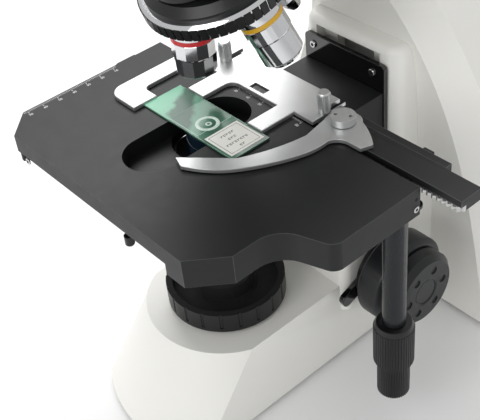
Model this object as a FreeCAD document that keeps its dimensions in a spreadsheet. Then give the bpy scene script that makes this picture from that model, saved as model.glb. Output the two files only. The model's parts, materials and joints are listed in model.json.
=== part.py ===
import FreeCAD, Part
import math
import os
import re
import Sketcher

# Compound laboratory microscope, millimetres, +Z up.
# Origin: where the optical axis meets the table. +Y points to the arm, +X to the user's right.

SIZES = {
    # fits and clearances
    "run_fit": 0.05,            # radial clearance of a shaft in its bearing
    "gap": 0.3,                 # air between faces that slide past each other
    "backlash": 0.25,           # play between meshing teeth
    # stand
    "foot_height": 3,
    "base_top": 60,
    "nose_radius_top": 51.5,
    "nose_radius_floor": 83,
    "nose_half_top": 47,
    "nose_half_floor": 49,
    "foot_front": 132,
    "foot_rear": 245,
    "casting_wall": 6,
    "plate_play": 2.5,          # air around the bottom plate
    "bevel_run": 16,            # width of the bevel beside the arm's front face
    "arm_joint": 245,           # height where the upper arm is bolted on
    "arm_half": 54,
    "arm_top": 350,
    "arm_under": 306,
    # lift column and focus drive
    "column_half": 38.5,
    "column_front": 111,
    "column_top": 197,
    "column_foot": 98,
    "focus_back": 80,           # focus axis, distance behind the optical axis
    "focus_up": 66,             # focus axis, height above the table
    "focus_end": 93,            # outer face of the fine knob
    "coarse_radius": 29.5,
    "coarse_width": 19,
    "fine_radius": 25,
    "fine_width": 11,
    "tension_radius": 24,
    "coarse_bore": 4,
    "coarse_shaft_radius": 6,
    "tooth_module": 1,
    "pinion_teeth": 16,
    "idler_teeth": 32,
    # stage
    "stage_top": 190,
    "stage_left": -87,
    "stage_right": 122.4,
    "stage_front": -79,
    "stage_back": 36.8,
    "stage_skirt": 17.5,
    "stage_thick": 10.5,
    "stage_web": 4,
    "slot_half": 16.5,
    "slot_front": -52.5,
    "slot_back": 29,
    "bar_front": 41,
    "bar_back": 56,
    "bar_thick": 7.5,
    "bar_left": -62,
    "bar_right": 144.5,
    "rail_thick": 4.8,
    "rail_right": 121.5,
    "shelf_top": 169,
    "shelf_half": 32,
    "shelf_thick": 11,
    # stage drive
    "drive_x": 109,
    "drive_y": 33.6,
    "sleeve_radius": 6.7,
    "y_shaft_radius": 5.2,
    "x_shaft_radius": 3,
    "y_knob_radius": 12,
    "y_knob_top": 88,
    "y_knob_bottom": 57,
    "x_knob_radius": 9.75,
    "x_knob_bottom": 31,
    # specimen
    "holder_thick": 2.35,
    "slide_long": 76,
    "slide_deep": 26,
    "slide_thick": 1.1,
    "lever_thick": 2.35,
    "pivot_x": 58.5,
    "pivot_y": 48,
    # optics
    "shoulder_up": 254,         # height of the objective shoulder in use
    "turret_tilt": 18,
    "turret_arm": 76,           # apex of the objective cone to each shoulder
    "turret_radius": 42,
    "parfocal": 45,
    "condenser_radius": 25,
    "condenser_nose": 11,
    "ring_radius": 37,
    "ring_top": 76.5,
    "ring_bottom": 63,
    "ring_bore": 20,
    "cell_top": 80.5,
    "head_ring": 24,
    "head_tilt": 30,            # viewing angle above the horizontal
    "pupil_arm": 37.5,
    "pupil_rest": 32.9,
    "tube_radius": 15.5,
    "eyepiece_bore": 11.6,
}

doc = FreeCAD.newDocument("Microscope")
sheet = doc.addObject("Spreadsheet::Sheet", "Sizes")
for row, (alias, number) in enumerate(SIZES.items(), 1):
    sheet.set("A%d" % row, alias)
    sheet.set("B%d" % row, str(number))
    sheet.setAlias("B%d" % row, alias)
doc.recompute()

PARTS = []


def ex(text):
    """Write the sheet's name before each size in an expression."""
    return re.sub(r"[a-z_]+", lambda m: "Sizes." + m.group() if m.group() in SIZES else m.group(), str(text))


def value(text):
    return float(sheet.evalExpression(ex(text)))


def bind(obj, prop, text):
    obj.setExpression(prop, ex(text))


def place(obj, at=("0", "0", "0"), rotation=None):
    """Put an object's origin at three expressions, turned by a fixed rotation."""
    if rotation is not None:
        obj.Placement = FreeCAD.Placement(FreeCAD.Vector(), rotation)
    for letter, text in zip("xyz", at):
        bind(obj, "Placement.Base." + letter, text)
    return obj


def piece(label, obj):
    """Name a finished sub-part."""
    obj.Label = label
    PARTS.append(obj)
    return obj


def spin(axis, degrees):
    return FreeCAD.Rotation(FreeCAD.Vector(*axis), degrees)


# ---------------------------------------------------------------- shapes

def box(xs, ys, zs):
    obj = doc.addObject("Part::Box", "Block")
    for prop, (low, high) in zip(("Length", "Width", "Height"), (xs, ys, zs)):
        bind(obj, prop, "(%s) - (%s)" % (high, low))
    return place(obj, (xs[0], ys[0], zs[0]))


def rod(radius, span, at=("0", "0"), axis="z"):
    """A cylinder along an axis, between two expressions, at the other two coordinates."""
    obj = doc.addObject("Part::Cylinder", "Round")
    bind(obj, "Radius", radius)
    bind(obj, "Height", "(%s) - (%s)" % (span[1], span[0]))
    if axis == "x":
        return place(obj, (span[0], at[0], at[1]), spin((0, 1, 0), 90))
    if axis == "y":
        return place(obj, (at[0], span[0], at[1]), spin((1, 0, 0), -90))
    return place(obj, (at[0], at[1], span[0]))


def joined(*items):
    obj = doc.addObject("Part::MultiFuse", "Joined")
    obj.Shapes = list(items)
    obj.Refine = True
    return obj


def minus(base, *tools):
    obj = doc.addObject("Part::Cut", "Cut")
    obj.Base = base
    obj.Tool = tools[0] if len(tools) == 1 else joined(*tools)
    return obj


def tube(outer, inner, span, at=("0", "0"), axis="z"):
    return minus(rod(outer, span, at, axis), rod(inner, span, at, axis))


def origin_plane(body, role):
    for feature in body.Origin.OriginFeatures:
        if feature.Role == role:
            return feature


def arc_between(start, end, radius, left):
    """The arc of a circle from start to end that bends to the left or to the right."""
    chord = end - start
    rise = math.sqrt(max(radius * radius - chord.Length * chord.Length / 4, 0))
    across = FreeCAD.Vector(-chord.y, chord.x, 0).normalize()
    centre = (start + end) * 0.5 + across * (rise if left else -rise)
    first, last = (start, end) if left else (end, start)
    begin = math.atan2(first.y - centre.y, first.x - centre.x)
    finish = math.atan2(last.y - centre.y, last.x - centre.x)
    if finish < begin:
        finish += 2 * math.pi
    return Part.ArcOfCircle(Part.Circle(centre, FreeCAD.Vector(0, 0, 1), radius), begin, finish)


def outline(body, role, points, offset=None):
    """A closed sketch. A point with a radius and a side is reached by an arc, else by a line."""
    sketch = body.newObject("Sketcher::SketchObject", "Outline")
    sketch.AttachmentSupport = [(origin_plane(body, role), "")]
    sketch.MapMode = "FlatFace"
    if offset is not None:
        bind(sketch, "AttachmentOffset.Base.z", offset)
    spots = [FreeCAD.Vector(value(p[0]), value(p[1]), 0) for p in points]
    count = len(points)
    ends = []
    for i in range(count):
        after = (i + 1) % count
        bend = points[after][2:]
        if bend:
            left = bend[1] == "left"
            sketch.addGeometry(arc_between(spots[i], spots[after], value(bend[0]), left), False)
            ends.append((1, 2) if left else (2, 1))
        else:
            sketch.addGeometry(Part.LineSegment(spots[i], spots[after]), False)
            ends.append((1, 2))
    for i in range(count):
        after = (i + 1) % count
        sketch.addConstraint(Sketcher.Constraint("Coincident", i, ends[i][1], after, ends[after][0]))
    for i in range(count):
        for kind, letter, text in (("DistanceX", "x", points[i][0]), ("DistanceY", "y", points[i][1])):
            rule = Sketcher.Constraint(kind, -1, 1, i, ends[i][0], value(text))
            name = "%s%d" % (letter, i)
            sketch.renameConstraint(sketch.addConstraint(rule), name)
            bind(sketch, "Constraints." + name, text)
        bend = points[(i + 1) % count][2:]
        if bend:
            rule = Sketcher.Constraint("Radius", i, value(bend[0]))
            name = "r%d" % i
            sketch.renameConstraint(sketch.addConstraint(rule), name)
            bind(sketch, "Constraints." + name, bend[0])
    return sketch


def plate(points, low, high, role="XY_Plane"):
    """A flat outline padded between two levels along its plane's normal."""
    body = doc.addObject("PartDesign::Body", "Plate")
    pad = body.newObject("PartDesign::Pad", "Pad")
    pad.Profile = outline(body, role, points, low)
    bind(pad, "Length", "(%s) - (%s)" % (high, low))
    return body


def turned(points, at=("0", "0", "0"), rotation=None):
    """A profile of radius and height, revolved about the body's own Z."""
    body = doc.addObject("PartDesign::Body", "Turned")
    lathe = body.newObject("PartDesign::Revolution", "Lathe")
    lathe.Profile = outline(body, "XZ_Plane", points)
    lathe.ReferenceAxis = (lathe.Profile[0], ["V_Axis"])
    lathe.Angle = 360
    return place(body, at, rotation)


def lofted(sections, ruled, role="XY_Plane"):
    """A solid through parallel outlines: (level, points) along the plane's normal."""
    body = doc.addObject("PartDesign::Body", "Lofted")
    sketches = [outline(body, role, points, level) for level, points in sections]
    loft = body.newObject("PartDesign::AdditiveLoft", "Loft")
    loft.Profile = sketches[0]
    loft.Sections = sketches[1:]
    loft.Ruled = ruled
    return body


def eased(body, size, wanted, feature="PartDesign::Fillet"):
    """Round or chamfer the edges of a body's last feature that pass a test."""
    doc.recompute()
    tip = body.Tip
    names = ["Edge%d" % (i + 1) for i, edge in enumerate(tip.Shape.Edges) if wanted(edge)]
    soft = body.newObject(feature, "Eased")
    soft.Base = (tip, names)
    bind(soft, "Radius" if feature.endswith("Fillet") else "Size", size)
    return body


def at_level(axis, level):
    """Test: the whole edge lies at one level of an axis."""
    def test(edge):
        span = edge.BoundBox
        low, high = getattr(span, axis + "Min"), getattr(span, axis + "Max")
        return abs(low - level) < 1e-4 and abs(high - level) < 1e-4
    return test


def slab(xs, ys, low, high, corner):
    """A block with its four upright corners rounded."""
    return plate(rounded_points(xs[0], xs[1], ys[0], ys[1], corner), low, high)


def rounded_points(left, right, front, back, corner):
    low_x, high_x = "(%s) + (%s)" % (left, corner), "(%s) - (%s)" % (right, corner)
    low_y, high_y = "(%s) + (%s)" % (front, corner), "(%s) - (%s)" % (back, corner)
    return [
        (low_x, front, corner, "left"), (high_x, front),
        (right, low_y, corner, "left"), (right, high_y),
        (high_x, back, corner, "left"), (low_x, back),
        (left, high_y, corner, "left"), (left, low_y),
    ]


def gear(teeth, bore, span, at=("0", "0"), axis="z", turn=0.0):
    """A spur gear with involute flanks of 20 degrees, thinned by the backlash."""
    module, count = value("tooth_module"), int(value(teeth))
    pitch = module * count / 2
    base = pitch * math.cos(math.radians(20))
    tip, root = pitch + module * 0.9, pitch - module * 1.2
    half = math.pi / (2 * count) - value("backlash") / (4 * pitch) + math.tan(math.radians(20)) - math.radians(20)
    flank = []
    for k in range(5):
        radius = max(base, root + 0.01) + (tip - max(base, root + 0.01)) * k / 4
        roll = math.sqrt(max(radius * radius / (base * base) - 1, 0))
        flank.append((radius, half - roll + math.atan(roll)))
    wire = []
    for tooth in range(count):
        middle = 2 * math.pi * tooth / count + turn
        wire.append((root, middle - flank[0][1]))
        wire += [(radius, middle + side * angle) for side, run in ((-1, flank), (1, flank[::-1]))
                 for radius, angle in run][:2 * len(flank)]
        wire.append((root, middle + flank[0][1]))
    points = [FreeCAD.Vector(r * math.cos(a), r * math.sin(a), 0) for r, a in wire]
    face = Part.Face(Part.makePolygon(points + points[:1]))
    low, high = value(span[0]), value(span[1])
    solid = face.extrude(FreeCAD.Vector(0, 0, high - low))
    solid = solid.cut(Part.makeCylinder(value(bore), high - low))
    obj = doc.addObject("Part::Feature", "Gear")
    obj.Shape = solid
    if axis == "x":
        return place(obj, (span[0], at[0], at[1]), spin((0, 1, 0), 90))
    return place(obj, (at[0], at[1], span[0]))


def rack(long, deep, high, at, along, rotation):
    """A straight rack: teeth on +Y of its own frame, pitch line at Y 0, run along X, tall along Z.

    A tooth is centred on X equal to along, so that it meets a gear's gap there."""
    module, play = value("tooth_module"), value("backlash")
    pitch = math.pi * module
    slope = math.tan(math.radians(20))
    crown, foot = 0.9 * module, -1.2 * module
    half = pitch / 4 - play / 4
    start, finish = value(long[0]), value(long[1])
    points = [(start, -value(deep)), (start, foot)]
    first = math.ceil((start + half + pitch / 2 - along) / pitch)
    last = math.floor((finish - half - pitch / 2 - along) / pitch)
    for k in range(first, last + 1):
        middle = along + k * pitch
        points += [(middle - half + foot * slope, foot), (middle - half + crown * slope, crown),
                   (middle + half - crown * slope, crown), (middle + half - foot * slope, foot)]
    points += [(finish, foot), (finish, -value(deep))]
    corners = [FreeCAD.Vector(x, y, 0) for x, y in points]
    obj = doc.addObject("Part::Feature", "Rack")
    obj.Shape = Part.Face(Part.makePolygon(corners + corners[:1])).extrude(FreeCAD.Vector(0, 0, value(high)))
    return place(obj, at, rotation)


# ---------------------------------------------------------------- stand

def bell_section(front_half, side_half, front, rear, inset):
    """The column's outline at one height: bevelled in front, its rear corners cut."""
    f, s = "(%s - %s)" % (front_half, inset), "(%s - %s)" % (side_half, inset)
    y0, y1 = "(%s + %s)" % (front, inset), "(%s - %s)" % (rear, inset)
    step = "(%s - %s)*1.15" % (side_half, front_half)
    return [("-" + f, y0), (f, y0), (s, "%s + %s" % (y0, step)), (s, y1 + " - 14"), (s + " - 14", y1),
            ("-%s + 14" % s, y1), ("-" + s, y1 + " - 14"), ("-" + s, "%s + %s" % (y0, step))]


def bell(inset, levels):
    """Sections of the flared column, from the foot up to the upper arm's joint."""
    rows = [
        ("101", "108", "foot_front", "foot_rear"),
        ("95", "104", "foot_front", "foot_rear - 1"),
        ("88", "100", "foot_front", "foot_rear - 3"),
        ("65", "65 + bevel_run", "foot_front - 0.5", "foot_rear - 12"),
        ("44", "44 + bevel_run", "foot_front - 7", "foot_rear - 20"),
        ("38", "38 + bevel_run", "foot_front - 34", "foot_rear - 32"),
    ]
    return [(level, bell_section(*row, inset)) for level, row in zip(levels, rows)]


def nose_section(half, radius, inset):
    """The front of the base: straight sides and an arc about the optical axis."""
    h, r = "(%s - %s)" % (half, inset), "(%s - %s)" % (radius, inset)
    front = "-sqrt(%s^2 - %s^2)" % (r, h)
    rear = "foot_front + 4 + " + inset
    return [("-" + h, front), (h, front, r, "left"), (h, rear), ("-" + h, rear)]


def stand():
    levels = ["foot_height", "base_top / 2", "base_top + 3", "142", "193", "arm_joint"]
    outer = joined(
        lofted(bell("0", levels), False),
        lofted([("foot_height", nose_section("nose_half_floor", "nose_radius_floor", "0")),
                ("base_top", nose_section("nose_half_top", "nose_radius_top", "0"))], True),
        slab(("-52", "52"), ("52", "foot_front + 10"), "base_top - 20", "96", "6"),
        slab(("-column_half", "column_half"), ("column_front", "foot_front + 12"),
             "base_top - 5", "column_foot", "10"),
    )
    inner_levels = ["foot_height - 1", "base_top / 2", "base_top + 3", "142", "193", "arm_joint - casting_wall"]
    inner = joined(
        lofted(bell("casting_wall", inner_levels), False),
        lofted([("foot_height - 1", nose_section("nose_half_floor", "nose_radius_floor", "casting_wall")),
                ("base_top - casting_wall", nose_section("nose_half_top", "nose_radius_top", "casting_wall"))],
               True),
        box(("-46", "46"), ("58", "foot_front + 20"), ("base_top - 30", "90")),
    )
    openings = [
        rod("ring_bore - 2", ("base_top - 10", "base_top + 1"), ("0", "0")),
        rod("12 + run_fit", ("-60", "60"), ("focus_back", "focus_up"), "x"),
        box(("-24", "24"), ("column_front - 1", "foot_front + 16"), ("88", "column_foot + 1")),
        box(("-30", "30"), ("foot_rear - 12", "foot_rear + 3"), ("16", "54")),
        box(("-44", "44"), ("foot_rear - 1", "foot_rear + 10"), ("8", "62")),
        rod("3 + run_fit", ("-60", "-36"), ("12", "34"), "x"),
    ]
    piece("stand_casting", minus(outer, inner, *openings))
    lift_column(outer)

    idler_at = (IDLER_BACK, "focus_up")
    cheeks = [box(span, (IDLER_BACK + " - 8", IDLER_BACK + " + 4"), ("foot_height + 1", "focus_up + 8"))
              for span in (("-30", "-25"), ("25", "30"))]
    piece("base_plate", minus(
        joined(plate(nose_plate("(casting_wall + plate_play)"), "foot_height", "foot_height + 2"), *cheeks),
        rod("4 + run_fit", ("-40", "40"), idler_at, "x"),
        *[rod("4", ("0", "foot_height + 3"), spot) for spot in FEET]))


IDLER_BACK = "(focus_back + tooth_module * (pinion_teeth + idler_teeth) / 2)"
LIFT_RACK_BACK = "(%s + tooth_module * pinion_teeth / 2)" % IDLER_BACK
FEET = [("0", "0"), ("-32", "-48"), ("32", "-48"), ("-84", "214"), ("84", "214")]


def nose_plate(inset):
    """The bottom cover: a T, narrow under the nose and wide under the arm."""
    h = "(nose_half_floor - %s)" % inset
    r = "(nose_radius_floor - %s)" % inset
    front = "-sqrt(%s^2 - %s^2)" % (r, h)
    wide = "(101 - %s)" % inset
    y0, y1 = "(foot_front + %s)" % inset, "(foot_rear - %s)" % inset
    return [("-" + h, front), (h, front, r, "left"), (h, y0), (wide, y0), (wide, y1 + " - 14"),
            (wide + " - 14", y1), ("-%s + 14" % wide, y1), ("-" + wide, y1 + " - 14"), ("-" + wide, y0),
            ("-" + h, y0)]


def feet():
    piece("rubber_feet", joined_group([
        joined(rod("9", ("0", "foot_height"), spot), rod("4", ("foot_height", "foot_height + 2"), spot))
        for spot in FEET]))


def arm_profile(d):
    """The overhang's side outline, drawn in by d so that its side faces are bevelled."""
    return [
        ("foot_front - 34 + " + d, "arm_joint"),
        ("foot_front - 48 + " + d, "arm_joint + 22 + 0.3*" + d, "90", "left"),
        ("42 + 0.5*" + d, "arm_under - 8 + " + d, "75", "left"),
        ("20", "arm_under + " + d),
        ("-38 + 0.3*" + d, "arm_under + " + d),
        ("-50 + 0.8*" + d, "arm_under + 12 + 0.6*" + d, "12", "right"),
        ("-50 + 0.8*" + d, "arm_top - 12 - 0.6*" + d),
        ("-38 + 0.3*" + d, "arm_top - 0.8*" + d, "12", "right"),
        ("foot_front - 6", "arm_top - 0.8*" + d),
        ("foot_rear - 32 - 0.6*" + d, "arm_joint + 30", "110", "right"),
        ("foot_rear - 32 - 0.6*" + d, "arm_joint"),
    ]


def upper_arm():
    """The overhang that carries the nosepiece below and the head on top."""
    body = lofted([("-arm_half", arm_profile("bevel_run")), ("bevel_run - arm_half", arm_profile("0")),
                   ("arm_half - bevel_run", arm_profile("0")), ("arm_half", arm_profile("bevel_run"))],
                  True, "YZ_Plane")
    hollow = plate([
        ("foot_front - 24", "arm_joint + 6"), ("foot_front - 42", "arm_joint + 30"),
        ("46", "arm_under + 4"), ("26", "arm_under + 7"), ("26", "arm_top - 7"),
        ("foot_front - 14", "arm_top - 7"), ("foot_rear - 52", "arm_joint + 30"),
        ("foot_rear - 52", "arm_joint + 6")], "8 - arm_half", "arm_half - 8", "YZ_Plane")
    shell = minus(
        body, hollow,
        rod("head_ring - 2", ("arm_under - 1", "arm_top + 1")),
        rod("head_ring + 4", ("arm_top - 8", "arm_top + 1")))
    seat = minus(
        rod("head_ring + 4", ("arm_top - 8", "arm_top")),
        rod("head_ring + run_fit", ("arm_top - 6", "arm_top + 1")),
        rod("head_ring - 4", ("arm_top - 9", "arm_top")))
    piece("arm_casting", minus(
        joined(shell, seat), rod("3.1", ("15", "arm_half + 1"), ("0", "arm_top - 4"), "x")))


def joined_group(items):
    """Separate solids that share one sub-part."""
    group = doc.addObject("Part::Compound", "Group")
    group.Links = items
    return group


def lift_column(casting):
    """The housing in front of the arm and the two fixed rails inside it."""
    shell = slab(("-column_half", "column_half"), ("column_front", "foot_front + 12"),
                 "column_foot", "column_top", "10")
    top = value("column_top")
    eased(shell, "5", at_level("Z", top))
    hollow = minus(
        shell, casting,
        box(("-26", "26"), ("column_front - 1", "foot_front + 13"), ("column_foot - 1", "column_top - 5")))
    guides = [box(sides, ("column_front + 7", "column_front + 13.5"), ("column_foot", "column_top - 5"))
              for sides in (("-26", "-15 - run_fit"), ("15 + run_fit", "26"))]
    piece("lift_column", joined(hollow, *guides))


# ---------------------------------------------------------------- base: light and power

def illumination():
    piece("field_lens_cell", minus(
        joined(rod("ring_bore - run_fit", ("base_top", "ring_bottom + 7")),
               rod("17.5", ("ring_bottom + 7", "cell_top"))),
        rod("14", ("base_top - 1", "cell_top + 1"))))
    piece("field_lens", turned([
        ("0", "cell_top - 7"), ("14", "cell_top - 7"), ("14", "cell_top - 3"), ("1", "cell_top - 0.8", "48", "left"),
        ("0", "cell_top - 0.8")]))
    piece("lamp_module", joined(
        slab(("-20", "20"), ("-20", "20"), "foot_height + 2", "foot_height + 8", "4"),
        tube("17", "13", ("foot_height + 8", "base_top - casting_wall"))))
    piece("collector_lens", turned([
        ("0", "30"), ("1", "30"), ("13", "33", "34", "left"), ("13", "36"), ("1", "39", "34", "left"), ("0", "39")]))
    ring = rod("ring_radius", ("ring_bottom", "ring_top"))
    slots = [place(doc.addObject("Part::Cylinder", "Slot"), ("0", "0", "0")) for k in range(20)]
    for k, slot in enumerate(slots):
        turn = FreeCAD.Rotation(FreeCAD.Vector(0, 0, 1), 18 * k + 9)
        spot = turn.multVec(FreeCAD.Vector(1, 0, 0))
        slot.Radius = 1.1
        bind(slot, "Height", "ring_top - ring_bottom - 2")
        bind(slot, "Placement.Base.x", "%.6f * (ring_radius + 0.4)" % spot.x)
        bind(slot, "Placement.Base.y", "%.6f * (ring_radius + 0.4)" % spot.y)
        bind(slot, "Placement.Base.z", "ring_bottom + 2.5")
    piece("field_ring", minus(
        ring, rod("ring_bore", ("ring_bottom - 1", "ring_top + 1")),
        rod("ring_radius - 4", ("ring_bottom + 7", "ring_top + 1")), *slots))


def electrics():
    piece("power_board", joined(
        box(("-60", "60"), ("150", "225"), ("foot_height + 2", "foot_height + 3.6")),
        slab(("-30", "20"), ("165", "205"), "foot_height + 3.6", "34", "3")))
    piece("rear_cover", minus(
        joined(slab(("-42", "42"), ("foot_rear - 1", "foot_rear + 2"), "10", "60", "1"),
               box(("8", "28"), ("foot_rear - 10", "foot_rear + 4.2"), ("26", "40"))),
        box(("-30", "-2"), ("foot_rear - 2", "foot_rear + 4"), ("22", "44")),
        box(("10", "26"), ("foot_rear - 8", "foot_rear + 5"), ("28", "38"))))
    piece("power_inlet", joined(
        minus(box(("-30", "-2"), ("foot_rear - 16", "foot_rear + 4"), ("22", "44")),
              box(("-27", "-5"), ("foot_rear - 10", "foot_rear + 5"), ("25", "41"))),
        *[box((x, x + " + 2"), ("foot_rear - 10", "foot_rear + 1"), (z, z + " + 4"))
          for x, z in (("-24", "29"), ("-17", "33"), ("-10", "29"))]))
    piece("cover_screws", joined_group([
        rod("2.6", ("foot_rear + 2", "foot_rear + 4"), (x, z), "y")
        for x in ("-37", "37") for z in ("15", "55")]))
    piece("power_rocker", joined(
        box(("10 + gap", "26 - gap"), ("foot_rear - 1", "foot_rear + 3.6"), ("28.8", "37.2")),
        rod("1.8", ("10 + gap", "26 - gap"), ("foot_rear - 1.5", "33"), "x")))
    piece("brightness_dial", joined(
        rod("11", ("-nose_half_floor - 12", "-nose_half_floor - gap"), ("12", "34"), "x"),
        rod("3", ("-nose_half_floor - gap", "-nose_half_floor + 14"), ("12", "34"), "x")))


# ---------------------------------------------------------------- focus drive

def along_focus(points):
    """A turned piece whose own Z is the focus axis, +X of the stand."""
    return turned(points, ("0", "focus_back", "focus_up"), spin((0, 1, 0), 90))


def mirrored(points):
    """The same profile on the other side of the stand."""
    return [(r, "-(%s)" % h) + tuple(("left" if b == "right" else "right") if b in ("left", "right") else b
                                     for b in rest) for r, h, *rest in points]


def focus_drive():
    inner = "focus_end - fine_width"
    coarse = "focus_end - fine_width - 1 - coarse_width"
    shaft = "coarse_shaft_radius"
    knob = [(shaft, coarse), ("coarse_radius - 2", coarse), ("coarse_radius", coarse + " + 2"),
            ("coarse_radius", inner + " - 4"), ("coarse_radius - 3", inner + " - 1"), (shaft, inner + " - 1")]
    fine = [("coarse_bore - run_fit", inner), ("fine_radius", inner), ("fine_radius", "focus_end - 4"),
            ("fine_radius - 3.5", "focus_end"), ("9.4", "focus_end"), ("9.4", "focus_end - 1.2"),
            ("8.4", "focus_end - 1.2"), ("8.4", "focus_end - 0.4"), ("coarse_bore - run_fit", "focus_end - 0.4")]
    piece("coarse_knobs", joined_group([along_focus(knob), along_focus(mirrored(knob))]))
    piece("fine_knobs", joined(
        minus(along_focus(fine), *dimples(1)), minus(along_focus(mirrored(fine)), *dimples(-1)),
        rod("coarse_bore - run_fit", ("0.4 - focus_end", "focus_end - 0.4"), ("focus_back", "focus_up"), "x")))
    reach = inner + " - 1"
    half_tooth = math.pi / value("pinion_teeth")
    piece("coarse_shaft", joined(
        tube(shaft, "coarse_bore", ("-(%s)" % reach, reach), ("focus_back", "focus_up"), "x"),
        gear("pinion_teeth", shaft, ("-4", "4"), ("focus_back", "focus_up"), "x", half_tooth)))
    bearings = [tube("12 + run_fit", shaft + " + run_fit", span, ("focus_back", "focus_up"), "x")
                for span in (("-52", "-44"), ("44", "52"))]
    piece("tension_ring", along_focus([
        ("12", "57"), ("tension_radius", "57"), ("tension_radius", coarse + " - 1.6"),
        ("tension_radius - 1", coarse + " - 0.8"), ("12", coarse + " - 0.8")]))
    collar = [(shaft + " + gap", "52"), ("12 - run_fit", "52"), ("12 - run_fit", coarse + " - 0.4"),
              (shaft + " + gap", coarse + " - 0.4")]
    piece("focus_bearings", joined_group([
        joined(bearings[1], along_focus(collar)), joined(bearings[0], along_focus(mirrored(collar)))]))
    ring = tube("16", "12", ("52.4", "56.6"), ("focus_back", "focus_up"), "x")
    arm = minus(slab(("-5", "5"), ("-36", "-10"), "0", "4.2", "4"), rod("12", ("-1", "6")))
    place(arm, ("52.4", "focus_back", "focus_up"), FreeCAD.Rotation(
        FreeCAD.Vector(0, math.sin(math.radians(20)), -math.cos(math.radians(20))),
        FreeCAD.Vector(0, math.cos(math.radians(20)), math.sin(math.radians(20))),
        FreeCAD.Vector(1, 0, 0), "XYZ"))
    piece("focus_lock_lever", joined(ring, arm))
    idler_at = (IDLER_BACK, "focus_up")
    piece("idler_gear", joined(
        gear("idler_teeth", "3", ("-4", "4"), idler_at, "x"),
        gear("pinion_teeth", "3", ("4", "13"), idler_at, "x"),
        rod("4", ("-30", "30"), idler_at, "x")))


def dimples(side):
    """Six finger dimples in the end face of a fine knob."""
    cups = []
    for k in range(6):
        angle = math.radians(60 * k + 4)
        cup = doc.addObject("Part::Cylinder", "Dimple")
        cup.Radius = 2.6
        cup.Height = 1
        cup.Placement = FreeCAD.Placement(FreeCAD.Vector(), spin((0, 1, 0), 90))
        bind(cup, "Placement.Base.x", "focus_end - 0.9" if side > 0 else "-focus_end - 0.1")
        bind(cup, "Placement.Base.y", "focus_back + %.6f * (fine_radius - 10)" % math.cos(angle))
        bind(cup, "Placement.Base.z", "focus_up + %.6f * (fine_radius - 10)" % math.sin(angle))
        cups.append(cup)
    return cups


# ---------------------------------------------------------------- stage lift

LOWER_UNDER = "(stage_top - stage_skirt)"
LOWER_TOP = "(stage_top - stage_thick - gap)"
COND_LINE = "48"
COND_BACK = "(48 + tooth_module * pinion_teeth / 2)"
COND_UP = "130"


def facing(x, y, z):
    """The rotation whose own X, Y and Z point along three directions of the stand."""
    return FreeCAD.Rotation(FreeCAD.Vector(*x), FreeCAD.Vector(*y), FreeCAD.Vector(*z), "XYZ")


def stage_lift():
    front = "column_front"
    half_pitch = math.pi * value("tooth_module") / 2
    teeth = rack(("40", "column_foot + 14"), "4.5", "8", ("4.5", LIFT_RACK_BACK, "0"),
                 value("focus_up") + half_pitch, facing((0, 0, 1), (0, -1, 0), (1, 0, 0)))
    piece("lift_slider", joined(
        teeth, slab_upright("33", front + " - 3.5", front + " - gap", "stage_top - 68", "stage_top - 3.3", "3"),
        box(("-20", "20"), (front + " - gap", front + " + 7 - gap"), ("column_foot + 10", "column_top - 25")),
        box(("-15", "15"), (front + " + 7 - gap", front + " + 13"), ("column_foot + 10", "column_top - 25"))))
    piece("mount_screws", joined_group([
        rod("2.4", (front + " - 4.7", front + " - 3.5"), (x, "stage_top - 10"), "y") for x in ("-25.5", "23.5")]))
    gusset = plate([
        ("33", "shelf_top - shelf_thick"), (front + " - 22", "shelf_top - shelf_thick"),
        (front + " - 3.5", "stage_top - 62"), (front + " - 3.5", "shelf_top"), ("33", "shelf_top")],
        "-shelf_half", "shelf_half", "YZ_Plane")
    cheeks = [minus(box(span, ("40", "68"), ("108", "shelf_top - shelf_thick")),
                    rod("3 + run_fit", ("-40", "40"), (COND_BACK, COND_UP), "x"))
              for span in (("-20", "-12 - gap"), ("12 + gap", "20"))]
    piece("stage_bracket", joined(minus(
        joined(gusset, box(("-shelf_half", "shelf_half"), ("38", "57"), ("shelf_top", LOWER_UNDER))),
        box(("6 - shelf_half", "shelf_half - 6"), ("58", front + " - 10"), ("0", "shelf_top - shelf_thick"))),
        *cheeks))
    lower_plate()


def slab_upright(half, front, back, low, high, corner):
    """A plate that faces the user, its four corners rounded."""
    points = rounded_points("-" + half, half, low, high, corner)
    return plate(points, "-(%s)" % back, "-(%s)" % front, "XZ_Plane")


def lower_plate():
    outer = plate([
        ("stage_left + 16", "stage_front + 1"), ("stage_left + 18", "stage_front + 1"),
        ("stage_left + 22", "stage_front + 7"), ("58", "stage_front + 7"), ("58", "4"), ("94", "4"),
        ("94", "stage_back + 20"), ("-78", "stage_back + 20"), ("stage_left + 3", "stage_back - 2"),
        ("stage_left + 3", "stage_front + 16")], LOWER_UNDER, LOWER_TOP)
    pointer = joined(
        box(("stage_left - 3.3", "stage_left + 3"), ("5", "19"), (LOWER_UNDER, LOWER_UNDER + " + 4")),
        box(("stage_left - 3.3", "stage_left - gap"), ("5", "19"), (LOWER_UNDER + " + 4", "stage_top - 1.6")))
    rails = [box(span, ("-35", "22"), (LOWER_TOP + " - 1", LOWER_TOP + " + 4"))
             for span in (("-52", "-44"), ("44", "52"))]
    half_pitch = math.pi * value("tooth_module") / 2
    line = "drive_x - tooth_module * pinion_teeth / 2"
    teeth = rack(("15", "74"), "(%s) - 93" % line, "5", (line, "0", LOWER_TOP),
                 value("drive_y") + half_pitch, facing((0, 1, 0), (1, 0, 0), (0, 0, -1)))
    piece("lower_stage_plate", joined(
        minus(outer, rod("condenser_radius - 5.5", (LOWER_UNDER + " - 1", LOWER_TOP + " + 1"))),
        pointer, teeth, *rails))


# ---------------------------------------------------------------- condenser

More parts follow.
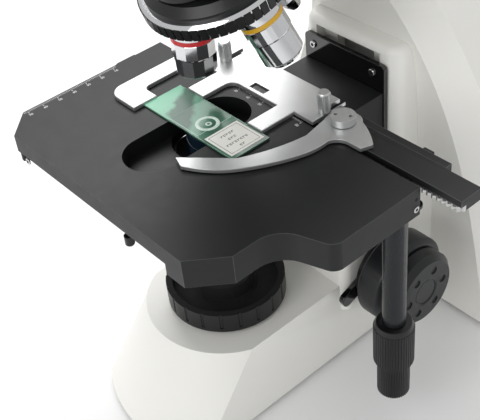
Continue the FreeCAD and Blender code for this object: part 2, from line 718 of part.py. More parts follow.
def condenser():
    r = "condenser_radius"
    half_pitch = math.pi * value("tooth_module") / 2
    teeth = rack(("112", "157"), "1.3", "10", ("5", COND_LINE, "0"),
                 value(COND_UP) + half_pitch, facing((0, 0, 1), (0, 1, 0), (-1, 0, 0)))
    piece("condenser_carrier", joined(minus(
        joined(rod("32", ("136", "150")), box(("-12", "12"), ("30", COND_LINE + " - 1.3"), ("112", "157"))),
        rod(r, ("100", "160"))), teeth, rod("2.5", ("31", "44"), ("0", "143"), "x")))
    piece("condenser_body", minus(
        joined(rod(r + " - 2", ("113", "118")), rod(r, ("118", "168")), rod(r + " - 7", ("168", "174"))),
        rod("9", ("112", "stage_top"))))
    piece("condenser_top_lens", rod("condenser_nose", ("174", "stage_top - 1.6")))
    piece("condenser_iris_ring", joined(
        tube(r + " + 3.5", r + " + run_fit", ("121", "128")),
        box(("-46", "-condenser_radius - 1.5"), ("-3", "3"), ("122.5", "126.5"))))
    piece("condenser_knob", joined(
        gear("pinion_teeth", "2", ("-6", "6"), (COND_BACK, COND_UP), "x"),
        rod("3", ("-50", "19"), (COND_BACK, COND_UP), "x"),
        turned([("0", "-52"), ("10", "-52"), ("11", "-51"), ("11", "-40"), ("10", "-39"), ("0", "-39")],
               ("0", COND_BACK, COND_UP), spin((0, 1, 0), 90))))


# ---------------------------------------------------------------- mechanical stage

def stage_outline():
    return [
        ("stage_left + 16", "stage_front"), ("stage_right - 45.4", "stage_front"),
        ("stage_right - 30", "stage_front + 19.3"), ("stage_right - 30", "stage_front + 33"),
        ("stage_right - 17.4", "stage_front + 50.7", "18", "right"), ("stage_right - 4.4", "stage_front + 55.2"),
        ("stage_right", "stage_front + 61", "7", "left"), ("stage_right", "stage_back"),
        ("stage_left", "stage_back"), ("stage_left", "stage_front + 16")]


def top_plate():
    under = "stage_top - stage_thick"
    slab_top = plate(stage_outline(), under, "stage_top")
    skirt = minus(
        plate(stage_outline(), LOWER_UNDER, under),
        box(("stage_left - 1", "63"), ("stage_front - 1", "stage_back + 1"), (LOWER_UNDER + " - 1", under)),
        plate([("60", "stage_front + 3.5"), ("stage_right - 47.5", "stage_front + 3.5"),
               ("stage_right - 33.5", "stage_front + 21.5"), ("stage_right - 33.5", "stage_front + 35"),
               ("stage_right - 19.4", "stage_front + 54"), ("stage_right - 3", "stage_front + 60"),
               ("stage_right - 3", "stage_back + 1"), ("60", "stage_back + 1")],
              LOWER_UNDER + " - 1", under))
    slot = joined(
        box(("-slot_half", "slot_half"), ("slot_front + slot_half", "slot_back - slot_half"),
            (under + " - 1", "stage_top + 1")),
        rod("slot_half", (under + " - 1", "stage_top + 1"), ("0", "slot_front + slot_half")),
        rod("slot_half", (under + " - 1", "stage_top + 1"), ("0", "slot_back - slot_half")))
    carriages = [
        minus(box((low, high), ("-24", "-12"), (LOWER_TOP + " + 2*gap", "stage_top - stage_web + 1")),
              box((low + " + 4 - gap", high + " - 4 + gap"), ("-25", "-11"), (LOWER_TOP, LOWER_TOP + " + 4 + gap")))
        for low, high in (("-56", "-40"), ("40", "56"))]
    hollow = minus(
        joined(slab_top, skirt), slot,
        box(("stage_left + 7", "-22"), ("stage_front + 7", "stage_back + 1"), (under + " - 1", "stage_top - stage_web")),
        box(("22", "78"), ("stage_front + 7", "stage_back + 1"), (under + " - 1", "stage_top - stage_web")),
        box(("drive_x - 11.5", "stage_right - 3"), ("drive_y - 11.5", "stage_back + 1"),
            (under + " - 1", "stage_top - 3.6")))
    piece("stage_top_plate", joined(hollow, *carriages))
    piece("rear_rail", joined(
        box(("bar_left + 2", "90"), ("stage_back", "bar_back + 0.6 + rail_thick"),
            (under, "stage_top + gap - bar_thick - 0.4")),
        box(("bar_left + 2", "rail_right"), ("bar_back + 0.6", "bar_back + 0.6 + rail_thick"),
            ("stage_top + gap - bar_thick - 0.4", "stage_top"))))


def stage_drive():
    at = ("drive_x", "drive_y")
    piece("drive_sleeve", minus(
        joined(slab(("drive_x - 11.5", "stage_right - 3"), ("drive_y - 11.5", "drive_y + 11.5"),
                    LOWER_UNDER + " - 1.5", LOWER_UNDER + " + 0.5", "4"),
               rod("sleeve_radius", ("y_knob_top + gap", LOWER_UNDER + " - 1.5"), at)),
        rod("y_shaft_radius + run_fit", ("10", "200"), at)))
    piece("y_drive_shaft", joined(
        tube("y_shaft_radius", "x_shaft_radius + run_fit", ("y_knob_bottom", LOWER_TOP + " - 0.7"), at),
        gear("pinion_teeth", "y_shaft_radius - 1", (LOWER_TOP + " - 5.7", LOWER_TOP + " - 0.7"), at)))
    piece("y_knob", turned([
        ("y_shaft_radius", "y_knob_bottom"), ("y_knob_radius - 0.8", "y_knob_bottom"),
        ("y_knob_radius", "y_knob_bottom + 0.8"), ("y_knob_radius", "y_knob_top - 1.5"),
        ("y_knob_radius - 1.5", "y_knob_top"), ("y_shaft_radius", "y_knob_top")], at + ("0",)))
    piece("x_drive_shaft", joined(
        rod("x_shaft_radius", ("x_knob_bottom + 2", "stage_top - 4.1"), at),
        gear("pinion_teeth", "x_shaft_radius - 1", ("stage_top - 7", "stage_top - 4.1"), at)))
    top = "y_knob_bottom - gap"
    piece("x_knob", turned([
        ("0", "x_knob_bottom"), ("x_knob_radius - 1", "x_knob_bottom"), ("x_knob_radius", "x_knob_bottom + 1"),
        ("x_knob_radius", top + " - 0.8"), ("x_knob_radius - 0.8", top), ("x_shaft_radius", top),
        ("x_shaft_radius", "x_knob_bottom + 2"), ("0", "x_knob_bottom + 2")], at + ("0",)))


def specimen_holder():
    bar_top = "stage_top + gap"
    under = bar_top + " - bar_thick"
    high = "(stage_top + gap + holder_thick)"
    line = "drive_y + tooth_module * pinion_teeth / 2"
    posts = (("-36.9", "47.5"), ("43.8", "48.6"))
    piece("x_bar", minus(
        box(("bar_left", "bar_right"), ("bar_front", "bar_back"), (under, bar_top)),
        box(("58", "bar_right + 1"), ("bar_front - 1", line + " + 3"), (under + " - 1", under + " + 3.5")),
        *[rod("2 + run_fit", (under + " - 1", bar_top + " + 1"), spot) for spot in posts],
        rod("3", (under + " + 2", bar_top + " + 1"), ("pivot_x", "pivot_y"))))
    half_pitch = math.pi * value("tooth_module") / 2
    piece("x_rack", rack(("58", "bar_right"), "3", "3.5", ("0", line, under + " + 3.5"),
                         value("drive_x") + half_pitch, facing((1, 0, 0), (0, -1, 0), (0, 0, -1))))
    body = plate([
        ("-54.4", "-19.5", "9", "left"), ("-38.3", "-19.5"), ("-38.3", "-3"), ("-46.5", "-3"),
        ("-50.5", "1", "4", "right"), ("-50.5", "35.6"), ("-31", "35.6"), ("-31", "13.8"), ("-17.5", "13.8"),
        ("-17.5", "29.7"), ("-11.5", "35.7", "6", "right"), ("20", "35.7"), ("20", "13.8"), ("31.6", "13.8"),
        ("31.6", "37.6"), ("46", "37.6"), ("46", "62.6"), ("-63.4", "62.6"), ("-63.4", "-10.5")],
        bar_top, high)
    level = value(high)
    eased(body, "0.35", at_level("Z", level), "PartDesign::Chamfer")
    piece("slide_holder", minus(
        body,
        rod("11", (bar_top + " - 1", high + " + 1"), ("pivot_x", "pivot_y")),
        box(("-5.5", "6.5"), ("37.8", "42.9"), (bar_top + " + 1", high + " + 1")),
        *[joined(rod("2 + run_fit", (bar_top + " - 1", high + " + 1"), (x, y)),
                 box((x + " - 2 - run_fit", x + " + 2 + run_fit"), (y, "64"), (bar_top + " - 1", high + " + 1")))
          for x, y in posts]))
    piece("holder_screws", joined_group([
        joined(rod("2", (under, high + " + 0.1"), spot), rod("4", (high + " + 0.1", high + " + 12.6"), spot))
        for spot in posts]))
    slide = ("-slide_long/2 - 0.2", "slide_long/2 - 0.2")
    deep = ("13.7 - slide_deep", "13.7")
    glass = (bar_top, bar_top + " + slide_thick")
    piece("specimen_slide", joined(
        box(slide, deep, glass),
        box(("-16", "8"), ("14.7 - slide_deep", "12.7"), (glass[1], glass[1] + " + 0.17"))))
    piece("slide_label", box(("13", "35.5"), ("15.2 - slide_deep", "12.2"), (glass[1], glass[1] + " + 0.12")))


def clip_lever():
    low, high = "(stage_top + 2*gap)", "(stage_top + 2*gap + lever_thick)"
    body = plate([
        ("15.4", "-32.4"), ("23.2", "-35.2"), ("44.7", "-19.8", "60", "left"), ("63.5", "16.1", "110", "left"),
        ("64.6", "30.6", "40", "left"), ("72.4", "37", "9", "right"), ("81.7", "37.1"), ("84.1", "44"),
        ("66.1", "55", "60", "left"), ("60.5", "58.3", "8", "left"), ("49.3", "42.9", "10.5", "left"),
        ("52.4", "26.6"), ("40.1", "-10.9", "110", "right")], low, high)
    piece("clip_lever", minus(body, rod("3.5 + run_fit", (low + " - 1", high + " + 1"), ("pivot_x", "pivot_y"))))
    at = ("pivot_x", "pivot_y")
    piece("clip_pivot", minus(
        joined(rod("3", ("stage_top + gap - bar_thick + 2", low), at), rod("3.5", ("stage_top + gap", high + " + gap"), at),
               rod("7", (high + " + gap", high + " + gap + 4.2"), at)),
        *[rod("1", (high + " + 2", high + " + 6"), ("pivot_x + %s" % dx, "pivot_y + %s" % dy))
          for dx, dy in (("3.6", "2"), ("-3.6", "-2"))]))


# ---------------------------------------------------------------- nosepiece and objectives

APEX = "(shoulder_up + turret_arm)"


def tilt():
    return spin((1, 0, 0), value("turret_tilt"))


def on_turret(points):
    """A turned piece on the nosepiece axis; heights are below the cone's apex."""
    return turned([(p[0], "-(%s)" % p[1]) + tuple(p[2:]) for p in points], ("0", "0", APEX), tilt())


def nosepiece():
    tip = value("turret_tilt")
    shoulder = "turret_arm * %.6f" % math.cos(math.radians(tip))
    pitch = "turret_arm * %.6f" % math.sin(math.radians(tip))
    lean = "%.6f" % math.tan(math.radians(tip))
    blank = on_turret([
        ("6 + run_fit", "51"), ("34", "51"), ("38", "55"), ("38", shoulder + " - (38 - %s) * %s" % (pitch, lean)),
        ("9", shoulder + " + (%s - 9) * %s" % (pitch, lean)), ("6 + run_fit", shoulder + " + (%s - 9) * %s" % (pitch, lean))])
    bores = []
    for k in range(4):
        bore = doc.addObject("Part::Cylinder", "Bore")
        bore.Radius = 9.6
        bore.Height = 60
        spot = tilt().multiply(spin((0, 0, 1), 90 * k)).multiply(tilt().inverted())
        low = spot.multVec(FreeCAD.Vector(0, 0, -1))
        reach = value("turret_arm") + 10
        bore.Placement = FreeCAD.Placement(FreeCAD.Vector(low) * reach, spot)
        bind(bore, "Placement.Base.x", "%.6f * (turret_arm + 10)" % low.x)
        bind(bore, "Placement.Base.y", "%.6f * (turret_arm + 10)" % low.y)
        bind(bore, "Placement.Base.z", APEX + " + %.6f * (turret_arm + 10)" % low.z)
        bores.append(bore)
    piece("nosepiece_turret", minus(blank, *bores))
    piece("nosepiece_grip", on_turret([
        ("38", "57"), ("turret_radius - 2", "57"), ("turret_radius", "60"), ("turret_radius", "66"), ("38", "66")]))
    axle = on_turret([
        ("0", "46"), ("6", "46"), ("6", shoulder + " + 8"), ("9", shoulder + " + 8"), ("9", shoulder + " + 11"),
        ("0", shoulder + " + 11")])
    under = APEX + " - 28"
    mount = minus(
        joined(slab(("-28", "28"), ("-30", "20"), under, "arm_under", "12"),
               rod("22", ("shoulder_up + 10", under), ("0", "6"))),
        on_turret([("0", "50.7"), ("80", "50.7"), ("80", "130"), ("0", "130")]))
    light = rod("9", ("shoulder_up", "arm_top"))
    piece("nosepiece_mount", minus(joined(mount, axle), light))
    objectives()


def objectives():
    """Four objectives of one parfocal family, from the shoulder down to the nose."""
    kinds = (("4x", 26.5 + 2.5, 11.8, 9.0), ("10x", 34.5, 12, 8), ("40x", 44.4, 12, 4.5), ("100x", 44.8, 12, 4))
    for k, (name, long, barrel, nose) in enumerate(kinds):
        turn = tilt().multiply(spin((0, 0, 1), 90 * k)).multiply(tilt().inverted())
        cone = min(long - 18, 16)
        points = [("0", "6"), ("9.5", "6"), ("9.5", "0"), ("%.2f" % barrel, "0"), ("%.2f" % barrel, "%.2f" % (cone - long)),
                  ("%.2f" % nose, "%.2f" % -long), ("0", "%.2f" % -long)]
        rows = [(r, "%s - turret_arm" % h) for r, h in points]
        piece("objective_" + name, turned(rows, ("0", "0", APEX), turn))


# ---------------------------------------------------------------- head

def head():
    top = "arm_top"
    dovetail = rod("head_ring", (top + " - 6 + gap", top + " + 2"))
    profile = [("44", top + " + 2"), ("-30", top + " + 2"), ("-48", top + " + 22"),
               ("-25", top + " + 61.837"), ("10", top + " + 60"), ("44", top + " + 40")]
    body = plate(profile, "-34", "34", "YZ_Plane")
    eased(body, "8", lambda e: at_level("X", 34)(e) or at_level("X", -34)(e), "PartDesign::Chamfer")
    look = spin((1, 0, 0), 90 - value("head_tilt"))
    pivot = ("0", "-36.5", top + " + 41.9")

    def on_head(points):
        return turned(points, pivot, look)

    pivot_pin = on_head([("0", "-4"), ("5", "-4"), ("5", "22"), ("8", "22"), ("8", "24.5"), ("0", "24.5")])
    piece("head_body", joined(body, dovetail, pivot_pin))
    for side, sign, low in (("right", 1, "0.6"), ("left", -1, "11.2")):
        angle = math.radians(value("pupil_rest"))
        x, y = "%.6f * pupil_arm" % (sign * math.cos(angle)), "%.6f * pupil_arm" % math.sin(angle)
        hub = rod("15", (low, low + " + 10"))
        arm = plate([("0", "-12"), ("0", "12"), (x, "(%s) + 12" % y), (x, "(%s) - 12" % y)], low, low + " + 10")
        house = rod("19", ("0.6", "40"), (x, y))
        sleeve = rod("tube_radius", ("40", "72"), (x, y))
        shell = minus(joined(hub, arm, house, sleeve), rod("5 + run_fit", ("-1", "50")),
                      rod("eyepiece_bore", ("20", "80"), (x, y)),
                      rod("15 + gap", ("11.2 - gap" if sign > 0 else "0", "60" if sign > 0 else "11.2"), ("0", "0")))
        place(shell, pivot, look)
        piece("tube_housing_" + side, shell)
        ocular = joined(rod("eyepiece_bore - run_fit", ("50", "72"), (x, y)), rod("15", ("72", "94"), (x, y)),
                        rod("17.5", ("94", "104"), (x, y)))
        hollow = minus(ocular, rod("9", ("49", "100"), (x, y)), rod("11", ("98", "105"), (x, y)))
        place(hollow, pivot, look)
        piece("eyepiece_" + side, hollow)
    piece("head_clamp_screw", joined(
        rod("3", ("head_ring + 0.5", "arm_half + 1"), ("0", top + " - 4"), "x"),
        rod("7", ("arm_half + gap", "arm_half + 12"), ("0", top + " - 4"), "x")))


stand()
feet()
upper_arm()
illumination()
electrics()
focus_drive()
stage_lift()
condenser()
top_plate()
stage_drive()
specimen_holder()
clip_lever()
nosepiece()
head()

doc.recompute()
faults = [obj.Label for obj in doc.Objects if "Invalid" in obj.State or "Error" in obj.State]
faults += [obj.Label for obj in PARTS if obj.Shape.isNull() or not obj.Shape.isValid()]
if faults:
    raise RuntimeError("these shapes failed: " + ", ".join(faults))
os.makedirs("parts", exist_ok=True)
for obj in PARTS:
    obj.Shape.exportStep("parts/%s.step" % obj.Label)
print(len(PARTS), "sub-parts")
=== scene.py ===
import json
import math

import bmesh
import bpy
from bpy.props import FloatProperty, FloatVectorProperty, IntProperty, PointerProperty
from mathutils import Matrix, Vector


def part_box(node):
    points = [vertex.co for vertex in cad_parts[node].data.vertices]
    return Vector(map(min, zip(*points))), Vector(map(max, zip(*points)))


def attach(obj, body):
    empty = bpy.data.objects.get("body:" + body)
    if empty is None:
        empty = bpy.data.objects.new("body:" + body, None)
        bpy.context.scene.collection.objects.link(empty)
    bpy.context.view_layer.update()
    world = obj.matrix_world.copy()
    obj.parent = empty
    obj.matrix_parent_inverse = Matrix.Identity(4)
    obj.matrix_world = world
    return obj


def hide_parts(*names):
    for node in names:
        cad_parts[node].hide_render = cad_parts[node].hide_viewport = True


bl_info = {
    "name": "Laboratory Microscope",
    "version": (1, 0, 0),
    "blender": (4, 5, 0),
    "location": "3D View > Sidebar > Microscope",
    "description": "Dresses the microscope's castings, stage, drives and optics, and sets up its studio",
    "category": "Object",
}

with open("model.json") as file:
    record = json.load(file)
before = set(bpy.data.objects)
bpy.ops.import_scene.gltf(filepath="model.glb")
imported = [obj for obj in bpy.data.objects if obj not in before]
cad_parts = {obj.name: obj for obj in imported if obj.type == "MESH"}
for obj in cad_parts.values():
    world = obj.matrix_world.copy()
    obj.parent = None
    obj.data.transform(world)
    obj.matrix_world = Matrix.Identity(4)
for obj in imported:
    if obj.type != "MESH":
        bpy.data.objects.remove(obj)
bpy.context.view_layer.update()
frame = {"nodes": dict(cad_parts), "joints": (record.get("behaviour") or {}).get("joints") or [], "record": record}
MM = 0.001


# ---------------------------------------------------------------- reading the frame

def corner(node, high):
    """A node's lowest or highest corner, in millimetres."""
    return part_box(node)[1 if high else 0] / MM


def joint(name):
    """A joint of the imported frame, by name."""
    return next(j for j in frame["joints"] if j["name"] == name)


def spot(name):
    """A joint's own point, in millimetres."""
    return Vector(joint(name)["pos_m"]) / MM


STAGE_TOP = corner("stage_top_plate", True).z
HOLDER_TOP = corner("slide_holder", True).z
FOCUS = spot("coarse_turn")
DRIVE = spot("y_knob_turn")
APEX = spot("nosepiece_turn")
TILT = math.asin(joint("nosepiece_turn")["axis"][1])
HEAD_PIVOT = spot("tube_right_turn")


# ---------------------------------------------------------------- materials

def linear(code):
    """An sRGB hex value as linear light."""
    parts = [int(code[i:i + 2], 16) / 255 for i in (1, 3, 5)]
    return tuple(c / 12.92 if c <= 0.04045 else ((c + 0.055) / 1.055) ** 2.4 for c in parts)


def shade(colour, factor):
    """A colour made lighter or darker by a factor."""
    return tuple(min(1.0, c * factor) for c in colour)


def add(tree, kind, inputs=None, **settings):
    """Add a node, with its settings, and its inputs as values or as other nodes' outputs."""
    node = tree.nodes.new(kind)
    for name, setting in settings.items():
        setattr(node, name, setting)
    for key, given in (inputs or {}).items():
        if isinstance(given, bpy.types.NodeSocket):
            tree.links.new(given, node.inputs[key])
        else:
            node.inputs[key].default_value = given
    return node


def surface(name, colour, roughness, metallic=0.0, mottle=(6.0, 0.06), grain=(0.4, 0.1),
            stretch=(1, 1, 1), rough_spread=0.06, shader=None):
    """A finish: base colour that wanders a little, uneven roughness and a fine grain in the relief.

    mottle is the size of the colour's patches in millimetres and how far it strays; grain is the size
    of the relief's grains and its strength."""
    material = bpy.data.materials.new(name)
    material.use_nodes = True
    tree = material.node_tree
    tree.nodes.clear()
    spots = add(tree, "ShaderNodeTexCoord")
    lay = add(tree, "ShaderNodeMapping", {"Vector": spots.outputs["Object"], "Scale": stretch})
    patches = add(tree, "ShaderNodeTexNoise", {
        "Vector": lay.outputs[0], "Scale": 1 / (mottle[0] * MM), "Detail": 4.0, "Roughness": 0.55})
    drift = add(tree, "ShaderNodeMix", {
        "Factor": patches.outputs[0], "A": shade(colour, 1 - mottle[1]) + (1,),
        "B": shade(colour, 1 + mottle[1]) + (1,)}, data_type="RGBA")
    uneven = add(tree, "ShaderNodeMapRange", {
        "Value": patches.outputs[0], "To Min": max(0.02, roughness - rough_spread),
        "To Max": roughness + rough_spread})
    grains = add(tree, "ShaderNodeTexNoise", {
        "Vector": lay.outputs[0], "Scale": 1 / (grain[0] * MM), "Detail": 3.0, "Roughness": 0.6})
    relief = add(tree, "ShaderNodeBump", {
        "Height": grains.outputs[0], "Strength": grain[1], "Distance": grain[0] * MM * 0.3})
    body = add(tree, "ShaderNodeBsdfPrincipled", {
        "Base Color": drift.outputs["Result"], "Roughness": uneven.outputs[0], "Metallic": metallic,
        "Normal": relief.outputs[0]})
    for key, given in (shader or {}).items():
        body.inputs[key].default_value = given
    add(tree, "ShaderNodeOutputMaterial", {"Surface": body.outputs[0]})
    return material


def cream_enamel(settings):
    """Two-part enamel sprayed on a casting: off-white, satin, with a faint orange peel."""
    return surface("cream_enamel", settings.enamel, 0.42, mottle=(60, 0.012), grain=(1.6, 0.05),
                   shader={"Coat Weight": 0.12, "Coat Roughness": 0.3})


def stage_enamel():
    """Hard black stove enamel on aluminium: deep charcoal, satin, finely pebbled, slightly rubbed."""
    return surface("stage_enamel", linear("#161718"), 0.44, mottle=(9, 0.10), grain=(0.5, 0.22),
                   shader={"Specular IOR Level": 0.32})


def rubbed_edge():
    """The same enamel painted lighter along its edges: a painted highlight where they catch the light."""
    return surface("rubbed_edge", linear("#47484A"), 0.34, mottle=(1.5, 0.2), grain=(0.3, 0.1))


def black_anodising():
    """Turned aluminium, dyed black: darker and a little shinier than paint, with fine turning marks."""
    return surface("black_anodising", linear("#101112"), 0.33, 0.1, mottle=(3, 0.1), grain=(0.3, 0.12),
                   stretch=(1, 1, 4))


def rod_anodising():
    """Bright-dipped, dyed tube: dark grey with a long clear highlight."""
    return surface("rod_anodising", linear("#2B2D30"), 0.27, 0.6, mottle=(4, 0.08), grain=(0.25, 0.1),
                   stretch=(1, 1, 0.15))


def polished_chrome():
    """Hard chrome over brass: mirror bright, with the faintest haze."""
    return surface("polished_chrome", linear("#DADBDD"), 0.07, 1.0, mottle=(5, 0.03), grain=(0.8, 0.015),
                   rough_spread=0.03)


def blasted_aluminium():
    """Glass-bead blasted, clear anodised sheet: pale, soft, with a silky grain."""
    return surface("blasted_aluminium", linear("#C9CACA"), 0.36, 0.85, mottle=(7, 0.05), grain=(0.35, 0.16))


def turned_screw():
    """Zinc plated steel: grey-white, small scratches."""
    return surface("turned_screw", linear("#BFC0BF"), 0.24, 1.0, mottle=(1.2, 0.12), grain=(0.2, 0.1))


def ground_steel():
    """Ground and polished steel shaft with its circumferential lines."""
    return surface("ground_steel", linear("#9A9B9C"), 0.25, 1.0, mottle=(2, 0.06), grain=(0.25, 0.08),
                   stretch=(1, 1, 3))


def machined_brass():
    """Cut gear brass, unlacquered."""
    return surface("machined_brass", linear("#B28F4B"), 0.3, 1.0, mottle=(3, 0.1), grain=(0.2, 0.1))


def moulded_knob():
    """Glass-filled nylon, fine spark texture: dark grey with a broad soft sheen."""
    return surface("moulded_knob", linear("#1B1D1F"), 0.36, mottle=(8, 0.06), grain=(0.35, 0.12),
                   shader={"Specular IOR Level": 0.4})


def black_moulding():
    """Black ABS with a fine moulded texture."""
    return surface("black_moulding", linear("#0F1011"), 0.36, mottle=(5, 0.08), grain=(0.45, 0.14),
                   shader={"Specular IOR Level": 0.4})


def matt_black_liner():
    """Dead black paint that stops stray light; almost nothing comes back from it. Also the painted shade laid over
    screw recesses and holes.
    """
    return surface("matt_black_liner", linear("#050506"), 0.85, mottle=(3, 0.2), grain=(0.4, 0.2))


def gloss_lacquer():
    """Black lacquer over a ground plate: clear reflections."""
    return surface("gloss_lacquer", linear("#0B0B0C"), 0.1, mottle=(20, 0.05), grain=(2.5, 0.02),
                   rough_spread=0.03, shader={"Coat Weight": 0.6, "Coat Roughness": 0.05})


def foot_rubber():
    """Moulded nitrile rubber, dull and slightly dusty."""
    return surface("foot_rubber", linear("#1C1C1C"), 0.8, mottle=(2, 0.15), grain=(0.5, 0.2))


def circuit_board():
    """Green solder mask over glass-epoxy."""
    return surface("circuit_board", linear("#2C5B3B"), 0.35, mottle=(4, 0.12), grain=(0.8, 0.06))


def white_filling():
    """White paint wiped into engraved marks."""
    return surface("white_filling", linear("#E4E5E3"), 0.6, mottle=(0.7, 0.08), grain=(0.2, 0.1))


def black_ink():
    """Printer's ink on a paper label."""
    return surface("black_ink", linear("#26262A"), 0.7, mottle=(0.4, 0.2), grain=(0.2, 0.1))


def label_paper():
    """Uncoated white label paper with its fibres."""
    return surface("label_paper", linear("#F3F2EC"), 0.75, mottle=(1.1, 0.03), grain=(0.25, 0.15))


def band_enamel(name, code):
    """Gloss enamel in an objective's colour groove."""
    return surface(name, linear(code), 0.25, mottle=(1.5, 0.05), grain=(0.4, 0.03))


# where each band of painted reflection and shade on the slide lies, and how bright its green is
SLIDE_REFLECTION_BANDS = (
    (0.0, 1.9), (0.2, 1.5), (0.24, 0.45), (0.38, 0.4),
    (0.42, 1.15), (0.58, 0.5), (0.75, 0.75), (1.0, 0.3))


def slide_glass(settings):
    """Soda-lime slide over a mounted section: cool green with slanting bands of painted reflection and shade, wet
    gloss.
    """
    material = surface("slide_glass", settings.glass, 0.12, mottle=(17, 0.45), grain=(5, 0.01),
                       rough_spread=0.03, shader={"Specular IOR Level": 0.25, "IOR": 1.52})
    tree = material.node_tree
    spots = add(tree, "ShaderNodeTexCoord")
    wander = add(tree, "ShaderNodeTexNoise", {
        "Vector": spots.outputs["Object"], "Scale": 60.0, "Detail": 3.0})
    axes = add(tree, "ShaderNodeSeparateXYZ", {"Vector": spots.outputs["Object"]})
    slant = add(tree, "ShaderNodeMath", {
        0: axes.outputs["Y"], 1: 0.8, 2: axes.outputs["X"]}, operation="MULTIPLY_ADD")
    moved = add(tree, "ShaderNodeMath", {
        0: wander.outputs[0], 1: 0.02, 2: slant.outputs[0]}, operation="MULTIPLY_ADD")
    along = add(tree, "ShaderNodeMapRange", {
        "Value": moved.outputs[0], "From Min": -0.035, "From Max": 0.055})
    # painted reflection and shade: light and dark green bands slanting across the slide
    bands = add(tree, "ShaderNodeValToRGB", {"Fac": along.outputs[0]})
    stops = bands.color_ramp.elements
    for place, factor in SLIDE_REFLECTION_BANDS:
        stops.new(place).color = shade(settings.glass, factor) + (1,)
    for ready_made in ((0, 0, 0), (1, 1, 1)):
        stops.remove(next(stop for stop in stops if tuple(stop.color)[:3] == ready_made))
    shader = next(node for node in tree.nodes if node.type == "BSDF_PRINCIPLED")
    tree.links.new(bands.outputs["Color"], shader.inputs["Base Color"])
    return material


def slide_edge():
    """The slide's ground edge, where the glass glows pale green."""
    return surface("slide_edge", linear("#C6E6D6"), 0.3, mottle=(1, 0.08), grain=(0.3, 0.1))


def mounting_ring():
    """Dried mounting resin round the cover glass."""
    return surface("mounting_ring", linear("#CFE3D8"), 0.25, mottle=(1.0, 0.3), grain=(0.6, 0.2))


def coated_lens():
    """Optical glass with a magnesium fluoride coating: dark, with a cool gloss."""
    return surface(
        "coated_lens", linear("#1D2B33"), 0.05, mottle=(8, 0.1), grain=(6, 0.005), rough_spread=0.02,
        shader={"IOR": 1.6, "Coat Weight": 1.0, "Coat Roughness": 0.02, "Coat Tint": (0.75, 0.85, 1, 1)})


def studio_floor(settings):
    """Matt white background board."""
    return surface("studio_floor", settings.floor, 0.9, mottle=(300, 0.004), grain=(3, 0.01))


# ---------------------------------------------------------------- shapes

def finished(shape, crease):
    """A mesh from an editable shape: smooth, with edges sharper than the crease angle kept crisp."""
    mesh = bpy.data.meshes.new("shape")
    shape.to_mesh(mesh)
    shape.free()
    mesh.polygons.foreach_set("use_smooth", [True] * len(mesh.polygons))
    mesh.set_sharp_from_angle(angle=math.radians(crease))
    return mesh


def lathe(profile, place=None, steps=96, crease=32, turn=0.0):
    """Turn (radius, height) pairs, in millimetres, about Z. A profile clear of the axis makes a ring."""
    place = place or Matrix.Identity(4)
    shape = bmesh.new()
    rings = []
    for radius, height in profile:
        count = steps if radius > 1e-6 else 1
        angles = [2 * math.pi * (k + turn) / steps for k in range(count)]
        rings.append([
            shape.verts.new(place @ Vector((radius * math.cos(a), radius * math.sin(a), height)))
            for a in angles])
    closed = profile[0][0] > 1e-6 or profile[-1][0] > 1e-6
    pairs = list(zip(rings, rings[1:])) + ([(rings[-1], rings[0])] if closed else [])
    for low, high in pairs:
        for k in range(steps):
            after = (k + 1) % steps
            if len(low) == 1 and len(high) == 1:
                continue
            if len(low) == 1:
                shape.faces.new((low[0], high[after], high[k]))
            elif len(high) == 1:
                shape.faces.new((low[k], low[after], high[0]))
            else:
                shape.faces.new((low[k], low[after], high[after], high[k]))
    bmesh.ops.recalc_face_normals(shape, faces=shape.faces)
    bmesh.ops.scale(shape, vec=(MM, MM, MM), verts=shape.verts)
    return finished(shape, crease)


def sheet_of(corners, low, high, crease=32):
    """An upright prism on a flat outline, in millimetres."""
    shape = bmesh.new()
    base = [shape.verts.new((x * MM, y * MM, low * MM)) for x, y in corners]
    face = shape.faces.new(base)
    raised = bmesh.ops.extrude_face_region(shape, geom=[face])
    bmesh.ops.translate(shape, vec=(0, 0, (high - low) * MM),
                        verts=[v for v in raised["geom"] if isinstance(v, bmesh.types.BMVert)])
    bmesh.ops.recalc_face_normals(shape, faces=shape.faces)
    return finished(shape, crease)


def block(xs, ys, zs):
    """A box between two millimetre values along each axis."""
    return sheet_of([(xs[0], ys[0]), (xs[1], ys[0]), (xs[1], ys[1]), (xs[0], ys[1])], *zs)


def numeral(text, size, place, thick=0.02):
    """A number lying flat, as a mesh."""
    curve = bpy.data.curves.new("numeral", "FONT")
    curve.body = text
    curve.size = size * MM
    curve.extrude = thick * MM
    curve.align_x = curve.align_y = "CENTER"
    holder = bpy.data.objects.new("numeral", curve)
    bpy.context.scene.collection.objects.link(holder)
    bpy.context.view_layer.update()
    mesh = bpy.data.meshes.new_from_object(holder.evaluated_get(bpy.context.evaluated_depsgraph_get()))
    bpy.data.objects.remove(holder)
    mesh.transform(place)
    return mesh


def at(x, y, z, turn=0.0, axis="Z"):
    """Millimetres to a place in the frame."""
    return Matrix.Translation(Vector((x, y, z)) * MM) @ Matrix.Rotation(math.radians(turn), 4, axis)


def in_metres(place):
    """A place given in millimetres, for a mesh that is already in metres."""
    return Matrix.Translation(place.translation * MM) @ place.to_3x3().to_4x4()


def assemble(name, parts, body, replaces=()):
    """One piece from several meshes, each with its own finish."""
    shape = bmesh.new()
    finishes = []
    for mesh, finish in parts:
        if finish not in finishes:
            finishes.append(finish)
        start = len(shape.faces)
        shape.from_mesh(mesh)
        shape.faces.ensure_lookup_table()
        for face in shape.faces[start:]:
            face.material_index = finishes.index(finish)
    whole = bpy.data.meshes.new(name)
    shape.to_mesh(whole)
    shape.free()
    for finish in finishes:
        whole.materials.append(finish)
    return ride(name, whole, body, replaces)


def ride(name, mesh, body, replaces=()):
    """Put a finished mesh in the scene, parent it to the body it rides on and hide the CAD parts it stands in for.
    """
    piece = bpy.data.objects.new(name, mesh)
    bpy.context.scene.collection.objects.link(piece)
    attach(piece, body)
    if replaces:
        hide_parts(*replaces)
    return piece


